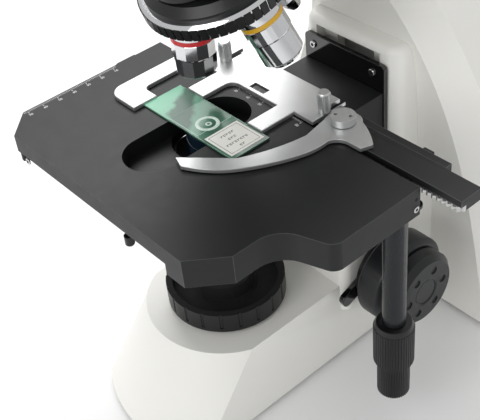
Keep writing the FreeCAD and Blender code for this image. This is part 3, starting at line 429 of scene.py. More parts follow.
def body_of(node):
    """The body that carries a CAD node."""
    return next(name for name, members in frame["record"]["behaviour"]["bodies"].items() if node in members)


def merged(node):
    """A clean copy of a CAD node's mesh: shared corners, flat faces whole again."""
    shape = bmesh.new()
    shape.from_mesh(frame["nodes"][node].data)
    bmesh.ops.remove_doubles(shape, verts=shape.verts, dist=2e-6)
    bmesh.ops.dissolve_limit(shape, angle_limit=math.radians(0.6), verts=shape.verts, edges=shape.edges)
    return finished(shape, 30)


def dress(node, finish, edge=0.3, worn=None):
    """Show a CAD node with its edges broken by a real small bevel, in millimetres, and a finish."""
    mesh = merged(node)
    mesh.materials.clear()
    mesh.materials.append(finish)
    if worn is not None:
        mesh.materials.append(worn)
    piece = bpy.data.objects.new(node + "_finish", mesh)
    bpy.context.scene.collection.objects.link(piece)
    bevel = piece.modifiers.new("Edges", "BEVEL")
    bevel.width = edge * MM
    bevel.segments = 2
    bevel.limit_method = "ANGLE"
    bevel.angle_limit = math.radians(38)
    bevel.harden_normals = True
    bevel.material = 0 if worn is None else 1
    bpy.context.view_layer.update()
    evaluated = piece.evaluated_get(bpy.context.evaluated_depsgraph_get())
    final = bpy.data.meshes.new_from_object(evaluated)
    bpy.data.objects.remove(piece)
    return ride(node + "_finish", final, body_of(node), (node,))


# ---------------------------------------------------------------- things that repeat

def interface(name, sockets, out):
    tree = bpy.data.node_groups.new(name, "GeometryNodeTree")
    for label, kind in sockets:
        tree.interface.new_socket(name=label, in_out="INPUT", socket_type="NodeSocket" + kind)
    tree.interface.new_socket(name=out, in_out="OUTPUT", socket_type="NodeSocketGeometry")
    return tree


def rib_ring():
    """Prisms stood round a circle, a flat side of each facing out."""
    tree = interface("Ribs round a circle", [
        ("Count", "Int"), ("Ring radius", "Float"), ("Rib radius", "Float"), ("Rib height", "Float"),
        ("Rib sides", "Int"), ("Stretch", "Vector"), ("Finish", "Material")], "Ribs")
    given = add(tree, "NodeGroupInput").outputs
    circle = add(tree, "GeometryNodeMeshCircle", {
        "Vertices": given["Count"], "Radius": given["Ring radius"]})
    prism = add(tree, "GeometryNodeMeshCylinder", {
        "Vertices": given["Rib sides"], "Radius": given["Rib radius"], "Depth": given["Rib height"]})
    half_side = add(tree, "ShaderNodeMath", {0: math.pi, 1: given["Rib sides"]}, operation="DIVIDE")
    spun = add(tree, "ShaderNodeCombineXYZ", {"Z": half_side.outputs[0]})
    flat_out = add(tree, "GeometryNodeTransform", {
        "Geometry": prism.outputs[0], "Rotation": spun.outputs[0]})
    shaped = add(tree, "GeometryNodeTransform", {
        "Geometry": flat_out.outputs[0], "Scale": given["Stretch"]})
    where = add(tree, "GeometryNodeInputPosition")
    facing = add(tree, "FunctionNodeAlignRotationToVector", {"Vector": where.outputs[0]}, axis="X")
    stood = add(tree, "GeometryNodeInstanceOnPoints", {
        "Points": circle.outputs[0], "Instance": shaped.outputs[0], "Rotation": facing.outputs[0]})
    real = add(tree, "GeometryNodeRealizeInstances", {"Geometry": stood.outputs[0]})
    painted = add(tree, "GeometryNodeSetMaterial", {
        "Geometry": real.outputs[0], "Material": given["Finish"]})
    add(tree, "NodeGroupOutput", {"Ribs": painted.outputs[0]})
    return tree


def mark_row():
    """Equal marks in a straight row."""
    tree = interface("Row of marks", [
        ("Count", "Int"), ("Step", "Vector"), ("Size", "Vector"), ("Finish", "Material")], "Marks")
    given = add(tree, "NodeGroupInput").outputs
    line = add(tree, "GeometryNodeMeshLine", {"Count": given["Count"], "Offset": given["Step"]})
    mark = add(tree, "GeometryNodeMeshCube", {"Size": given["Size"]})
    stood = add(tree, "GeometryNodeInstanceOnPoints", {
        "Points": line.outputs[0], "Instance": mark.outputs[0]})
    real = add(tree, "GeometryNodeRealizeInstances", {"Geometry": stood.outputs[0]})
    painted = add(tree, "GeometryNodeSetMaterial", {
        "Geometry": real.outputs[0], "Material": given["Finish"]})
    add(tree, "NodeGroupOutput", {"Marks": painted.outputs[0]})
    return tree


def grown(tree, place, **values):
    """What a tree grows for these inputs, as a plain mesh in its place."""
    holder = bpy.data.objects.new("grown", bpy.data.meshes.new("grown"))
    bpy.context.scene.collection.objects.link(holder)
    modifier = holder.modifiers.new("Grow", "NODES")
    modifier.node_group = tree
    for item in tree.interface.items_tree:
        key = item.name.lower().replace(" ", "_")
        if item.in_out == "INPUT" and key in values:
            modifier[item.identifier] = values[key]
    bpy.context.view_layer.update()
    mesh = bpy.data.meshes.new_from_object(holder.evaluated_get(bpy.context.evaluated_depsgraph_get()))
    bpy.data.objects.remove(holder)
    mesh.transform(place)
    return mesh


def ribs(count, radius, rib, height, place, finish, sides=6, stretch=(1, 1, 1)):
    """Ribs round the Z axis of a place, in millimetres."""
    return grown(TREES["ribs"], place, count=count, ring_radius=radius * MM, rib_radius=rib * MM,
                 rib_height=height * MM, rib_sides=sides, stretch=stretch, finish=finish)


def marks(count, step, size, place, finish):
    return grown(TREES["marks"], place, count=count, step=[s * MM for s in step],
                 size=[s * MM for s in size], finish=finish)


TREES = {}
FINISH = {}


def ready():
    """Make the trees and finishes once."""
    if TREES:
        return
    settings = bpy.context.scene.microscope
    TREES.update(ribs=rib_ring(), marks=mark_row())
    FINISH.update(
        enamel=cream_enamel(settings), stage=stage_enamel(), worn=rubbed_edge(), anodised=black_anodising(),
        rod=rod_anodising(), chrome=polished_chrome(), satin=blasted_aluminium(), screw=turned_screw(),
        steel=ground_steel(), brass=machined_brass(), knob=moulded_knob(), plastic=black_moulding(),
        liner=matt_black_liner(), lacquer=gloss_lacquer(), rubber=foot_rubber(), board=circuit_board(),
        white=white_filling(), ink=black_ink(), paper=label_paper(), glass=slide_glass(settings),
        edge=slide_edge(), resin=mounting_ring(), lens=coated_lens())


# ---------------------------------------------------------------- sizes and colours a user would change

class MicroscopeSettings(bpy.types.PropertyGroup):
    """Sizes and colours of the dressed microscope."""
    enamel: FloatVectorProperty(
        name="Body enamel", description="Colour of the painted castings", subtype="COLOR", size=3,
        min=0, max=1, default=linear("#EFEEE9"))
    glass: FloatVectorProperty(
        name="Slide glass", description="Body colour of the slide", subtype="COLOR", size=3,
        min=0, max=1, default=linear("#5F9079"))
    edge_break: FloatProperty(
        name="Edge break", description="Width of the small bevel on machined edges, in millimetres",
        default=0.35, min=0.05, max=1.0)
    cast_edge: FloatProperty(
        name="Casting edge", description="Width of the rounding on painted castings, in millimetres",
        default=1.6, min=0.2, max=4.0)
    knurl_ribs: IntProperty(
        name="Knurl ribs", description="Straight ribs round each stage drive knob",
        default=44, min=12, max=120)
    grip_blocks: IntProperty(
        name="Grip blocks", description="Black blocks round the nosepiece ring",
        default=56, min=12, max=120)


class StudioSettings(bpy.types.PropertyGroup):
    """Floor, light and camera."""
    floor: FloatVectorProperty(
        name="Floor", description="Colour of the background board", subtype="COLOR", size=3,
        min=0, max=1, default=linear("#F4F4F4"))
    sky: FloatProperty(
        name="Sky", description="Strength of the even white surround", default=0.66, min=0, max=5)
    key: FloatProperty(
        name="Key light", description="Power of the large soft lamp", default=15.0, min=0, subtype="POWER")
    lens: FloatProperty(
        name="Lens", description="Focal length on a 36 mm sensor", default=77.03, min=10,
        subtype="DISTANCE_CAMERA")
    place: FloatVectorProperty(
        name="Camera place", description="Where the camera stands, in metres", size=3,
        subtype="TRANSLATION", unit="LENGTH", default=(0.37778, -0.26711, 0.51276))
    turn: FloatVectorProperty(
        name="Camera turn", description="Tilt, roll and heading of the camera", size=3, subtype="EULER",
        unit="ROTATION", default=tuple(math.radians(a) for a in (49.0786, 5.1946, 48.8313)))
    shift: FloatVectorProperty(
        name="Lens shift", description="Sideways and upward shift of the lens, as a share of the width",
        size=2, default=(0.00445, 0.0300))


# ---------------------------------------------------------------- pieces

class MICROSCOPE_OT_castings(bpy.types.Operator):
    """Painted castings: base, arm, lift housing and head"""
    bl_idname = "microscope.castings"
    bl_label = "Painted castings"

    def execute(self, context):
        ready()
        edge = context.scene.microscope.cast_edge
        for node in ("stand_casting", "arm_casting", "head_body"):
            dress(node, FINISH["enamel"], edge)
        dress("lift_column", FINISH["enamel"], 0.8)
        return {"FINISHED"}


class MICROSCOPE_OT_base_fittings(bpy.types.Operator):
    """Bottom plate, feet, rear cover with inlet and switch, brightness dial and the boards inside"""
    bl_idname = "microscope.base_fittings"
    bl_label = "Base fittings"

    def execute(self, context):
        ready()
        dress("base_plate", FINISH["stage"], 0.3)
        dress("rubber_feet", FINISH["rubber"], 0.5)
        dress("rear_cover", FINISH["plastic"], 0.5)
        dress("power_inlet", FINISH["plastic"], 0.3)
        dress("power_rocker", FINISH["lacquer"], 0.4)
        dress("power_board", FINISH["board"], 0.3)
        self.screws()
        self.dial()
        return {"FINISHED"}

    def screws(self):
        """Cross-head screws of the rear cover, their cross recesses shown as painted shade: thin black bars on
        each head.
        """
        low, high = corner("cover_screws", False), corner("cover_screws", True)
        radius = 2.6
        parts = []
        for x in (low.x + radius, high.x - radius):
            for z in (low.z + radius, high.z - radius):
                place = Matrix.Translation((x, low.y, z)) @ Matrix.Rotation(math.radians(-90), 4, "X")
                parts.append((lathe([(0, 0), (radius, 0), (radius, 1.2), (1.9, 1.9), (0, 2)], place, 32),
                              FINISH["screw"]))
                for turn in (45, 135):
                    # the cross recess as painted shade: two thin black bars on the head
                    slot_shade = block((-1.5, 1.5), (-0.28, 0.28), (1.9, 2.0))
                    slot_shade.transform(at(x, low.y, z, -90, "X") @ Matrix.Rotation(math.radians(turn), 4, "Z"))
                    parts.append((slot_shade, FINISH["liner"]))
        assemble("rear_screws", parts, "stand", ("cover_screws",))

    def dial(self):
        """Ribbed brightness dial with its white mark."""
        low, high = corner("brightness_dial", False), corner("brightness_dial", True)
        mid = (low + high) / 2
        place = Matrix.Translation((low.x, mid.y, mid.z)) @ Matrix.Rotation(math.radians(90), 4, "Y")
        core = lathe([(0, 0), (9.4, 0), (10.6, 1.4), (10.6, 11), (3, 11.7), (3, 26), (0, 26)], place, 72)
        grip = ribs(36, 10.45, 0.5, 8.6, at(low.x + 6, mid.y, mid.z, 90, "Y"), FINISH["plastic"])
        mark = block((-0.4, 0.4), (5, 9), (-0.05, 0.1))
        mark.transform(at(low.x + 0.05, mid.y, mid.z, 90, "Y"))
        assemble("brightness_knob", [
            (core, FINISH["plastic"]), (grip, FINISH["plastic"]), (mark, FINISH["white"])],
            "dial", ("brightness_dial",))


class MICROSCOPE_OT_light(bpy.types.Operator):
    """Built-in light: ribbed field ring, lens in its cell, collector and lamp"""
    bl_idname = "microscope.light"
    bl_label = "Built-in light"

    def execute(self, context):
        ready()
        ring = dress("field_ring", FINISH["plastic"], 0.5).data
        ring.materials.append(FINISH["liner"])
        rim = (corner("field_ring", True).x - 3.2) * MM
        for face in ring.polygons:
            if face.center.xy.length < rim:
                face.material_index = 1
        dress("field_lens_cell", FINISH["liner"], 0.5)
        dress("field_lens", FINISH["lens"], 0.2)
        dress("collector_lens", FINISH["lens"], 0.2)
        dress("lamp_module", FINISH["anodised"], 0.3)
        return {"FINISHED"}


class MICROSCOPE_OT_focus(bpy.types.Operator):
    """Coaxial focus: coarse and fine knobs, tension ring, lock lever, shaft, gear and bearings"""
    bl_idname = "microscope.focus"
    bl_label = "Focus drive"

    def execute(self, context):
        ready()
        dress("coarse_knobs", FINISH["knob"], 0.7)
        dress("fine_knobs", FINISH["knob"], 0.5)
        dress("coarse_shaft", FINISH["steel"], 0.15)
        dress("focus_bearings", FINISH["liner"], 0.2)
        dress("idler_gear", FINISH["brass"], 0.1)
        dress("focus_lock_lever", FINISH["lacquer"], 1.2)
        self.tension()
        self.rims()
        return {"FINISHED"}

    def tension(self):
        """Finely ribbed tension ring."""
        low, high = corner("tension_ring", False), corner("tension_ring", True)
        radius = (high.z - low.z) / 2
        wide = high.x - low.x
        place = Matrix.Translation((low.x, FOCUS.y, FOCUS.z)) @ Matrix.Rotation(math.radians(90), 4, "Y")
        core = lathe([
            (12, 0), (radius - 0.6, 0), (radius - 0.6, wide - 0.6), (radius - 1.4, wide), (12, wide)], place)
        grip = ribs(96, radius - 0.62, 0.55, wide - 0.7, at(low.x + wide / 2, FOCUS.y, FOCUS.z, 90, "Y"),
                    FINISH["anodised"], 4)
        assemble("tension_grip", [(core, FINISH["anodised"]), (grip, FINISH["anodised"])], "tension",
                 ("tension_ring",))

    def rims(self):
        """Bright rim round the middle of each fine knob."""
        reach = corner("fine_knobs", True).x
        parts = []
        for side in (1, -1):
            place = (Matrix.Translation((side * (reach - 1.2), FOCUS.y, FOCUS.z))
                     @ Matrix.Rotation(math.radians(90 * side), 4, "Y"))
            rim = lathe([(8.3, 0), (9.5, 0), (9.5, 0.95), (9.0, 1.15), (8.5, 0.9)], place, 72)
            parts.append((rim, FINISH["rod"]))
        assemble("fine_knob_rims", parts, "fine")


class MICROSCOPE_OT_carriage(bpy.types.Operator):
    """What carries the stage: lift slider with its lacquered face, bracket, lower plate and screws"""
    bl_idname = "microscope.carriage"
    bl_label = "Stage carriage"

    def execute(self, context):
        ready()
        dress("lift_slider", FINISH["lacquer"], 0.4)
        dress("stage_bracket", FINISH["stage"], 0.6)
        dress("lower_stage_plate", FINISH["stage"], 0.35)
        self.screws()
        return {"FINISHED"}

    def screws(self):
        """Two screws of the lacquered face, and the lower plate's front screw and stop peg."""
        low, high = corner("mount_screws", False), corner("mount_screws", True)
        radius = (high.z - low.z) / 2
        forward = Matrix.Rotation(math.pi / 2, 4, "X")
        parts = []
        for x in (low.x + radius, high.x - radius):
            parts += cap_screw((x, high.y, low.z + radius), radius, high.y - low.y, forward)
        plate = corner("lower_stage_plate", False)
        parts += cap_screw((plate.x + 27.3, plate.y + 0.1, plate.z + 3.4), 2.1, 0.9, forward)
        tip, top = plate.z - 6, plate.z + 0.2
        peg = lathe([(0, tip), (2.0, tip), (2.6, tip + 0.8), (2.6, top), (0, top)],
                    Matrix.Translation((26, plate.y + 3.2, 0)), 32)
        parts.append((peg, FINISH["anodised"]))
        assemble("carriage_screws", parts, "lift", ("mount_screws",))


def cap_screw(place, radius, high, rotation):
    """A socket screw's head, with its hexagon hole shown as painted shade: a thin dead-black hexagon on the head.
    """
    seat = Matrix.Translation(place) @ rotation
    key, over = radius * 0.5, high + 0.03
    head = lathe([(0, 0), (radius, 0), (radius, high * 0.7), (radius * 0.85, high), (0, high)], seat, 40)
    # a thin black hexagon on the head: painted shade for the socket's recess
    hole_shade = lathe([(0, high), (key, high), (key, over), (0, over)], seat, 6)
    return [(head, FINISH["screw"]), (hole_shade, FINISH["liner"])]


class MICROSCOPE_OT_condenser(bpy.types.Operator):
    """Condenser with its carrier, iris ring, top lens and focusing knob"""
    bl_idname = "microscope.condenser"
    bl_label = "Condenser"

    def execute(self, context):
        ready()
        dress("condenser_carrier", FINISH["anodised"], 0.4)
        dress("condenser_body", FINISH["anodised"], 0.5)
        dress("condenser_top_lens", FINISH["lens"], 0.2)
        dress("condenser_iris_ring", FINISH["anodised"], 0.4)
        self.knob()
        return {"FINISHED"}

    def knob(self):
        """Ribs round the condenser's focusing knob."""
        dress("condenser_knob", FINISH["plastic"], 0.3)
        low = corner("condenser_knob", False)
        centre = spot("condenser_knob_turn")
        grip = ribs(30, 10.85, 0.5, 10, at(low.x + 6.5, centre.y, centre.z, 90, "Y"), FINISH["plastic"])
        assemble("condenser_knob_grip", [(grip, FINISH["plastic"])], "condenser_drive")


class MICROSCOPE_OT_stage_plate(bpy.types.Operator):
    """Moving stage plate with its engraved rulers, screw and rear rail"""
    bl_idname = "microscope.stage_plate"
    bl_label = "Stage plate"

    def execute(self, context):
        ready()
        edge = context.scene.microscope.edge_break
        # the plate's and rail's bevels take a lighter enamel: a painted highlight along their edges
        dress("stage_top_plate", FINISH["stage"], edge, worn=FINISH["worn"])
        dress("rear_rail", FINISH["stage"], edge, worn=FINISH["worn"])
        self.rulers()
        self.fittings()
        return {"FINISHED"}

    def rulers(self):
        """Millimetre rulers: one along the left edge, one behind the slot."""
        left = corner("stage_top_plate", False).x
        back = corner("stage_top_plate", True).y
        top = STAGE_TOP + 0.012
        paint = FINISH["white"]
        first, zero = -61.0, -40.8
        rows = [
            marks(65, (0, 1, 0), (1.5, 0.22, 0.03), at(left + 1.6, first - 2, top), paint),
            marks(7, (0, 10, 0), (2.9, 0.3, 0.03), at(left + 2.3, first, top), paint),
            marks(81, (1, 0, 0), (0.2, 1.3, 0.03), at(zero, back - 0.9, top), paint),
            marks(9, (10, 0, 0), (0.28, 2.3, 0.03), at(zero, back - 1.4, top), paint)]
        for k in range(7):
            rows.append(numeral(str(10 * (7 - k)), 2.6, at(left + 5.6, first + 10 * k, top, 90)))
        for k in range(9):
            rows.append(numeral(str(10 * k), 2.4, at(zero + 10 * k, back - 4.6, top)))
        assemble("stage_rulers", [(row, paint) for row in rows], "stage_y")

    def fittings(self):
        """Socket screw and pin hole in the right edge; the pin hole is a thin black disc of painted shade."""
        low, high = corner("stage_top_plate", False), corner("stage_top_plate", True)
        side = Matrix.Rotation(math.pi / 2, 4, "Y")
        parts = cap_screw((high.x - 0.1, 33.8, low.z + 5.0), 1.9, 0.7, side)
        # a black disc on the edge: painted shade for the pin hole
        hole_shade = lathe([(0, 0), (1.1, 0), (1.1, 0.05), (0, 0.05)],
                     Matrix.Translation((high.x - 0.02, 33.9, low.z + 11.2)) @ side, 24)
        parts.append((hole_shade, FINISH["liner"]))
        assemble("stage_fittings", parts, "stage_y")


class MICROSCOPE_OT_stage_drive(bpy.types.Operator):
    """Coaxial stage drive: sleeve, two shafts with pinions and two knurled knobs"""
    bl_idname = "microscope.stage_drive"
    bl_label = "Stage drive"

    def execute(self, context):
        ready()
        dress("drive_sleeve", FINISH["rod"], 0.3)
        dress("y_drive_shaft", FINISH["steel"], 0.1)
        dress("x_drive_shaft", FINISH["steel"], 0.1)
        self.knurled("y_knob", "y_drive", 1.5, 3.4)
        self.knurled("x_knob", "x_drive", 0.8, 1.6)
        return {"FINISHED"}

    def knurled(self, node, body, top_break, plain):
        """A straight-knurled knob with a plain turned lip above and below the knurl."""
        low, high = corner(node, False), corner(node, True)
        radius, floor, roof = (high.x - low.x) / 2, low.z, high.z
        bore = 5.3 if node == "y_knob" else 3.1
        count = bpy.context.scene.microscope.knurl_ribs
        core = lathe([
            (bore, floor), (radius - 1.1, floor), (radius - 0.5, floor + 0.8), (radius - 0.5, roof - plain),
            (radius - top_break - 0.3, roof - 0.3), (radius - top_break - 0.8, roof), (bore, roof)],
            Matrix.Translation((DRIVE.x, DRIVE.y, 0)))
        height = roof - plain - floor - 0.6
        grip = ribs(count, radius - 0.56, 0.5, height, at(DRIVE.x, DRIVE.y, floor + 0.6 + height / 2),
                    FINISH["anodised"], 6)
        assemble(node + "_knurled", [(core, FINISH["anodised"]), (grip, FINISH["anodised"])], body,
                 (node,))


class MICROSCOPE_OT_holder(bpy.types.Operator):
    """Slide holder on its cross bar: rack, holder plate, thumb screws, vernier, lever and pivot"""
    bl_idname = "microscope.holder"
    bl_label = "Slide holder"

    def execute(self, context):
        ready()
        # the bar's bevels take the same lighter enamel: a painted highlight along its edges
        dress("x_bar", FINISH["stage"], 0.3, worn=FINISH["worn"])
        dress("x_rack", FINISH["screw"], 0.05)
        dress("slide_holder", FINISH["satin"], 0.25)
        dress("clip_lever", FINISH["satin"], 0.3)
        dress("clip_pivot", FINISH["satin"], 0.3)
        self.screws()
        self.vernier()
        return {"FINISHED"}

    def screws(self):
        """Two slim thumb screws with fine ribs."""
        low, high = corner("holder_screws", False), corner("holder_screws", True)
        parts = []
        for x, y in ((low.x + 4, low.y + 4), (high.x - 4, high.y - 4)):
            place = Matrix.Translation((x, y, 0))
            core = lathe([
                (0, low.z), (2, low.z), (2, HOLDER_TOP + 0.1), (3.6, HOLDER_TOP + 0.1),
                (3.6, high.z - 0.7), (3.1, high.z), (0, high.z)], place, 48)
            grip = ribs(28, 3.55, 0.42, 8.5, at(x, y, high.z - 5.4), FINISH["satin"])
            parts += [(core, FINISH["satin"]), (grip, FINISH["satin"])]
        assemble("thumb_screws", parts, "stage_x", ("holder_screws",))

    def vernier(self):
        """Black vernier plate in the holder's window."""
        plate = block((-5.4, 6.4), (37.9, 42.8), (HOLDER_TOP - 1.3, HOLDER_TOP - 1.15))
        top = HOLDER_TOP - 1.13
        lines = marks(11, (0.9, 0, 0), (0.18, 1.6, 0.03), at(-4, 38.8, top), FINISH["white"])
        ends = marks(3, (4.5, 0, 0), (0.24, 2.3, 0.03), at(-4, 39.1, top), FINISH["white"])
        assemble("vernier_plate", [
            (plate, FINISH["plastic"]), (lines, FINISH["white"]), (ends, FINISH["white"])],
            "stage_x")


class MICROSCOPE_OT_specimen(bpy.types.Operator):
    """Glass slide with a mounted section, its ring of resin and its paper label"""
    bl_idname = "microscope.specimen"
    bl_label = "Specimen slide"

    def execute(self, context):
        ready()
        dress("specimen_slide", FINISH["glass"], 0.12, worn=FINISH["edge"])
        low, high = corner("slide_label", False), corner("slide_label", True)
        paper = block((low.x, high.x), (low.y, high.y), (low.z, high.z - 0.02))
        parts = [(paper, FINISH["paper"])]
        parts += [(strip, FINISH["ink"]) for strip in self.border(low, high) + self.lines(low, high)]
        assemble("printed_label", parts, "stage_x", ("slide_label",))
        self.ring()
        return {"FINISHED"}

    def border(self, low, high):
        """A thin printed frame inside the label's edge."""
        inset, width, top = 1.5, 0.22, (high.z - 0.02, high.z)
        x0, x1, y0, y1 = low.x + inset, high.x - inset, low.y + inset, high.y - inset
        return [block((x0, x1), (y0, y0 + width), top), block((x0, x1), (y1 - width, y1), top),
                block((x0, x0 + width), (y0, y1), top), block((x1 - width, x1), (y0, y1), top)]

    def lines(self, low, high):
        """Rows of short dashes where a user writes the specimen's name."""
        dashes = []
        middle = (low.y + high.y) / 2
        for row, (count, size) in enumerate(((5, 1.5), (3, 1.5), (8, 1.5), (2, 1.5))):
            x = low.x + 5.0 + 4.2 * row
            start = middle - count * (size + 0.35) / 2
            for k in range(count):
                y = start + k * (size + 0.35)
                dashes.append(block((x, x + 1.5), (y, y + 0.35), (high.z - 0.02, high.z)))
                dashes.append(block((x, x + 0.35), (y, y + size), (high.z - 0.02, high.z)))
                if (k + row) % 2:
                    dashes.append(block((x + 1.15, x + 1.5), (y, y + size * 0.8), (high.z - 0.02, high.z)))
        return dashes

    def ring(self):
        """Resin squeezed out round the cover glass."""
        place = Matrix.Translation((3.2, -0.4, 0))
        top = corner("specimen_slide", True).z
        sunk, proud = top - 0.05, top + 0.05
        ring = lathe([(4.6, sunk), (6.9, sunk), (6.6, proud), (5.9, top + 0.09), (4.9, proud)], place, 64)
        inner = lathe([(0.8, sunk), (2.0, sunk), (1.7, proud), (1.0, proud)],
                      Matrix.Translation((3.9, -0.2, 0)), 40)
        assemble("resin_ring", [(ring, FINISH["resin"]), (inner, FINISH["resin"])],
                 "stage_x")


def turret_place():
    """The frame of the nosepiece: its axis is Z and the apex of the objectives is its origin."""
    return Matrix.Translation(APEX) @ Matrix.Rotation(TILT, 4, "X")


class MICROSCOPE_OT_nosepiece(bpy.types.Operator):
    """Turning nosepiece with its bright ring and black grip blocks"""
    bl_idname = "microscope.nosepiece"
    bl_label = "Nosepiece"

    def execute(self, context):
        ready()
        dress("nosepiece_mount", FINISH["anodised"], 0.5)
        dress("nosepiece_turret", FINISH["anodised"], 0.4)
        place = turret_place()
        outer = 42.0
        ring = lathe([
            (38.05, -66), (outer - 0.7, -66), (outer - 0.5, -65.6), (outer - 0.5, -59.4),
            (outer - 0.8, -59), (outer - 2.4, -57.8), (38.05, -57.8)], place, 160)
        count = context.scene.microscope.grip_blocks
        wide = 2 * math.pi * outer / count * 0.82
        blocks = ribs(count, outer - 0.6, math.sqrt(0.5), 6.6, in_metres(place) @ at(0, 0, -62.5),
                      FINISH["plastic"], 4, (1.2, wide, 1))
        assemble("nosepiece_ring", [(ring, FINISH["chrome"]), (blocks, FINISH["plastic"])],
                 "turret", ("nosepiece_grip",))
        return {"FINISHED"}


class MICROSCOPE_OT_objectives(bpy.types.Operator):
    """Four chromed objectives with their colour bands"""
    bl_idname = "microscope.objectives"
    bl_label = "Objectives"

    def execute(self, context):
        ready()
        bands = {"4x": "#C8262C", "10x": "#E3B02B", "40x": "#3C8FCB", "100x": "#E9E9E6"}
        for number, (name, code) in enumerate(bands.items()):
            turn = (Matrix.Rotation(TILT, 4, "X") @ Matrix.Rotation(math.radians(90 * number), 4, "Z")
                    @ Matrix.Rotation(-TILT, 4, "X"))
            place = Matrix.Translation(APEX) @ turn @ Matrix.Translation((0, 0, -76))
            self.objective(name, place, band_enamel("band_" + name, code))
        return {"FINISHED"}

    def objective(self, name, place, band):
        """Shoulder, colour band, faceted grip, tapered nose and front lens."""
        # length below the shoulder, barrel and nose radii, flats round the grip, height of the cone
        sizes = {"4x": (29.0, 11.8, 10.4, 12, 10), "10x": (34.5, 12, 8.6, 24, 4),
                 "40x": (44.4, 12, 4.5, 24, 16), "100x": (44.8, 12, 4, 24, 16)}
        length, barrel, nose, flats, cone = sizes[name]
        chrome = FINISH["chrome"]
        low = -length
        shoulder = [(0, 6), (9.5, 6), (9.5, 0), (barrel - 0.5, 0), (barrel - 0.3, -0.6),
                    (barrel - 0.3, -6.8), (0, -6.8)]
        groove = [(0, -6.8), (barrel - 0.15, -6.8), (barrel - 0.15, -9.2), (0, -9.2)]
        grip = [(0, -9.2), (barrel - 0.3, -9.2), (barrel, -9.6), (barrel, -17.6), (barrel - 0.3, -18.2),
                (0, -18.2)]
        parts = [(lathe(shoulder, place, 72), chrome), (lathe(groove, place, 72), band),
                 (lathe(grip, place, flats, 3), chrome)]
        if name == "4x":
            faceted = [(0, -18.2), (barrel - 0.4, -18.4), (nose + 0.6, low + 1), (nose - 0.2, low),
                       (nose - 2, low), (nose - 2.4, low + 1.2), (0, low + 1.2)]
            parts.append((lathe(faceted, place, 12, 3, 0.5), chrome))
        else:
            tapered = [(0, -18.2), (barrel - 0.5, -18.4), (barrel - 0.5, low + cone - 0.5),
                       (barrel - 1.2, low + cone - 1.4), (nose, low + 1.2), (nose - 0.4, low),
                       (nose - 1.4, low), (nose - 1.7, low + 0.6), (0, low + 0.6)]
            parts.append((lathe(tapered, place, 72, 25), chrome))
        lens = nose - (2.4 if name == "4x" else 1.7)
        glass = [(0, low + 0.9), (lens, low + 0.9), (lens * 0.6, low + 0.5), (0, low + 0.35)]
        parts.append((lathe(glass, place, 48), FINISH["lens"]))
        assemble("objective_%s_chromed" % name, parts, "turret", ("objective_" + name,))


class MICROSCOPE_OT_head(bpy.types.Operator):
    """Binocular tubes, eyepieces with their rubber cups, and the head's clamp screw"""
    bl_idname = "microscope.head"
    bl_label = "Binocular tubes"

    def execute(self, context):
        ready()
        for side in ("right", "left"):
            dress("tube_housing_" + side, FINISH["stage"], 0.8)
        for side, body in (("right", "tube_right"), ("left", "ocular_left")):
            self.eyepiece(side, body)
        dress("head_clamp_screw", FINISH["plastic"], 0.5)
        low, high = corner("head_clamp_screw", False), corner("head_clamp_screw", True)
        mid = (low + high) / 2
        grip = ribs(24, 6.8, 0.45, 9.5, at(high.x - 6, mid.y, mid.z, 90, "Y"), FINISH["plastic"])
        assemble("clamp_screw_grip", [(grip, FINISH["plastic"])], "head_clamp")
        return {"FINISHED"}

    def eyepiece(self, side, body):
        """Black barrel, ribbed ring, rubber cup and eye lens, laid along the tilted line of sight."""
        arm = 37.5
        rest = math.radians(32.9)
        look = Matrix.Translation(HEAD_PIVOT) @ Matrix.Rotation(math.radians(60), 4, "X")
        x = (1 if side == "right" else -1) * arm * math.cos(rest)
        place = look @ Matrix.Translation((x, arm * math.sin(rest), 0))
        barrel = lathe([(9, 50), (11.5, 50), (11.5, 72), (14.4, 72), (14.4, 92), (13.6, 94), (9, 94)], place)
        cup = lathe([
            (10, 94), (16.2, 94), (17.4, 96), (17.4, 102.6), (16.6, 104), (13.4, 104),
            (11.4, 99), (10, 98.6)], place)
        lens = lathe([(0, 95.4), (11.2, 95.4), (11.2, 97), (7, 98.2), (0, 98.8)], place)
        grip = ribs(40, 14.3, 0.45, 12, in_metres(place) @ at(0, 0, 82), FINISH["plastic"])
        assemble("eyepiece_%s_finish" % side, [
            (barrel, FINISH["plastic"]), (grip, FINISH["plastic"]), (cup, FINISH["rubber"]),
            (lens, FINISH["lens"])],
            body, ("eyepiece_" + side,))


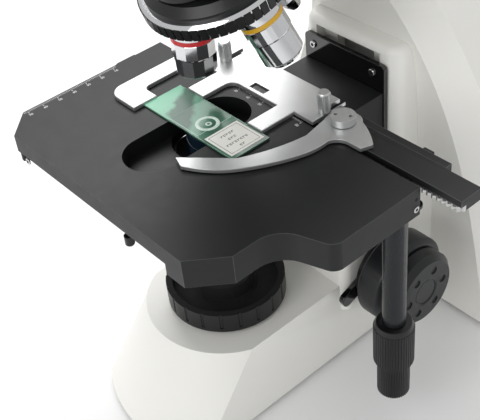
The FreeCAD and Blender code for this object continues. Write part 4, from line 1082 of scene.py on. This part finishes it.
class MICROSCOPE_OT_studio(bpy.types.Operator):
    """Pale floor, even white surround, one large soft lamp and the camera"""
    bl_idname = "microscope.studio"
    bl_label = "Studio"

    def execute(self, context):
        studio = context.scene.microscope_studio
        self.floor(studio)
        self.light(context, studio)
        self.camera(context, studio)
        return {"FINISHED"}

    def floor(self, studio):
        """White floor under the part."""
        mesh = bpy.data.meshes.new("studio_floor")
        half = 6.0
        corners = [(-half, -half, 0), (half, -half, 0), (half, half, 0), (-half, half, 0)]
        mesh.from_pydata(corners, [], [(0, 1, 2, 3)])
        mesh.materials.append(studio_floor(studio))
        board = bpy.data.objects.new("studio_floor", mesh)
        bpy.context.scene.collection.objects.link(board)

    def light(self, context, studio):
        """Even white surround and one large soft lamp."""
        world = bpy.data.worlds.new("white_surround")
        world.use_nodes = True
        sky = world.node_tree.nodes["Background"]
        sky.inputs["Color"].default_value = (1, 1, 1, 1)
        sky.inputs["Strength"].default_value = studio.sky
        context.scene.world = world
        context.scene.view_settings.view_transform = "Standard"
        middle = Vector((0, 0, 0.15))
        for name, place, size, power in (("key_lamp", (-0.7, 0.5, 1.3), 1.0, studio.key),
                                         ("front_lamp", (0.3, -1.2, 0.9), 0.9, studio.key * 0.45)):
            lamp = bpy.data.lights.new(name, "AREA")
            lamp.size = size
            lamp.energy = power
            holder = bpy.data.objects.new(name, lamp)
            holder.location = place
            holder.rotation_euler = (middle - Vector(place)).to_track_quat("-Z", "Y").to_euler()
            context.scene.collection.objects.link(holder)

    def camera(self, context, studio):
        """The viewpoint, with its lens and shift."""
        eye = bpy.data.cameras.new("viewpoint")
        eye.lens = studio.lens
        eye.sensor_width = 36
        eye.shift_x, eye.shift_y = studio.shift
        eye.clip_start = 0.01
        holder = bpy.data.objects.new("viewpoint", eye)
        holder.location = studio.place
        holder.rotation_euler = studio.turn
        context.scene.collection.objects.link(holder)
        context.scene.camera = holder


class MICROSCOPE_PT_panel(bpy.types.Panel):
    """The microscope's pieces and settings"""
    bl_idname = "MICROSCOPE_PT_panel"
    bl_label = "Microscope"
    bl_space_type = "VIEW_3D"
    bl_region_type = "UI"
    bl_category = "Microscope"

    def draw(self, context):
        for group in (context.scene.microscope, context.scene.microscope_studio):
            for name in group.__annotations__:
                self.layout.prop(group, name)
        for operator in PIECES:
            self.layout.operator(operator.bl_idname)


PIECES = (
    MICROSCOPE_OT_studio, MICROSCOPE_OT_castings, MICROSCOPE_OT_base_fittings, MICROSCOPE_OT_light,
    MICROSCOPE_OT_focus, MICROSCOPE_OT_carriage, MICROSCOPE_OT_condenser, MICROSCOPE_OT_stage_plate,
    MICROSCOPE_OT_stage_drive, MICROSCOPE_OT_holder, MICROSCOPE_OT_specimen, MICROSCOPE_OT_nosepiece,
    MICROSCOPE_OT_objectives, MICROSCOPE_OT_head)
CLASSES = (MicroscopeSettings, StudioSettings) + PIECES + (MICROSCOPE_PT_panel,)


def register():
    for item in CLASSES:
        bpy.utils.register_class(item)
    bpy.types.Scene.microscope = PointerProperty(type=MicroscopeSettings)
    bpy.types.Scene.microscope_studio = PointerProperty(type=StudioSettings)


def unregister():
    del bpy.types.Scene.microscope_studio
    del bpy.types.Scene.microscope
    for item in reversed(CLASSES):
        bpy.utils.unregister_class(item)


def main():
    register()
    for operator in PIECES:
        family, name = operator.bl_idname.split(".")
        getattr(getattr(bpy.ops, family), name)()


if __name__ == "__main__":
    main()
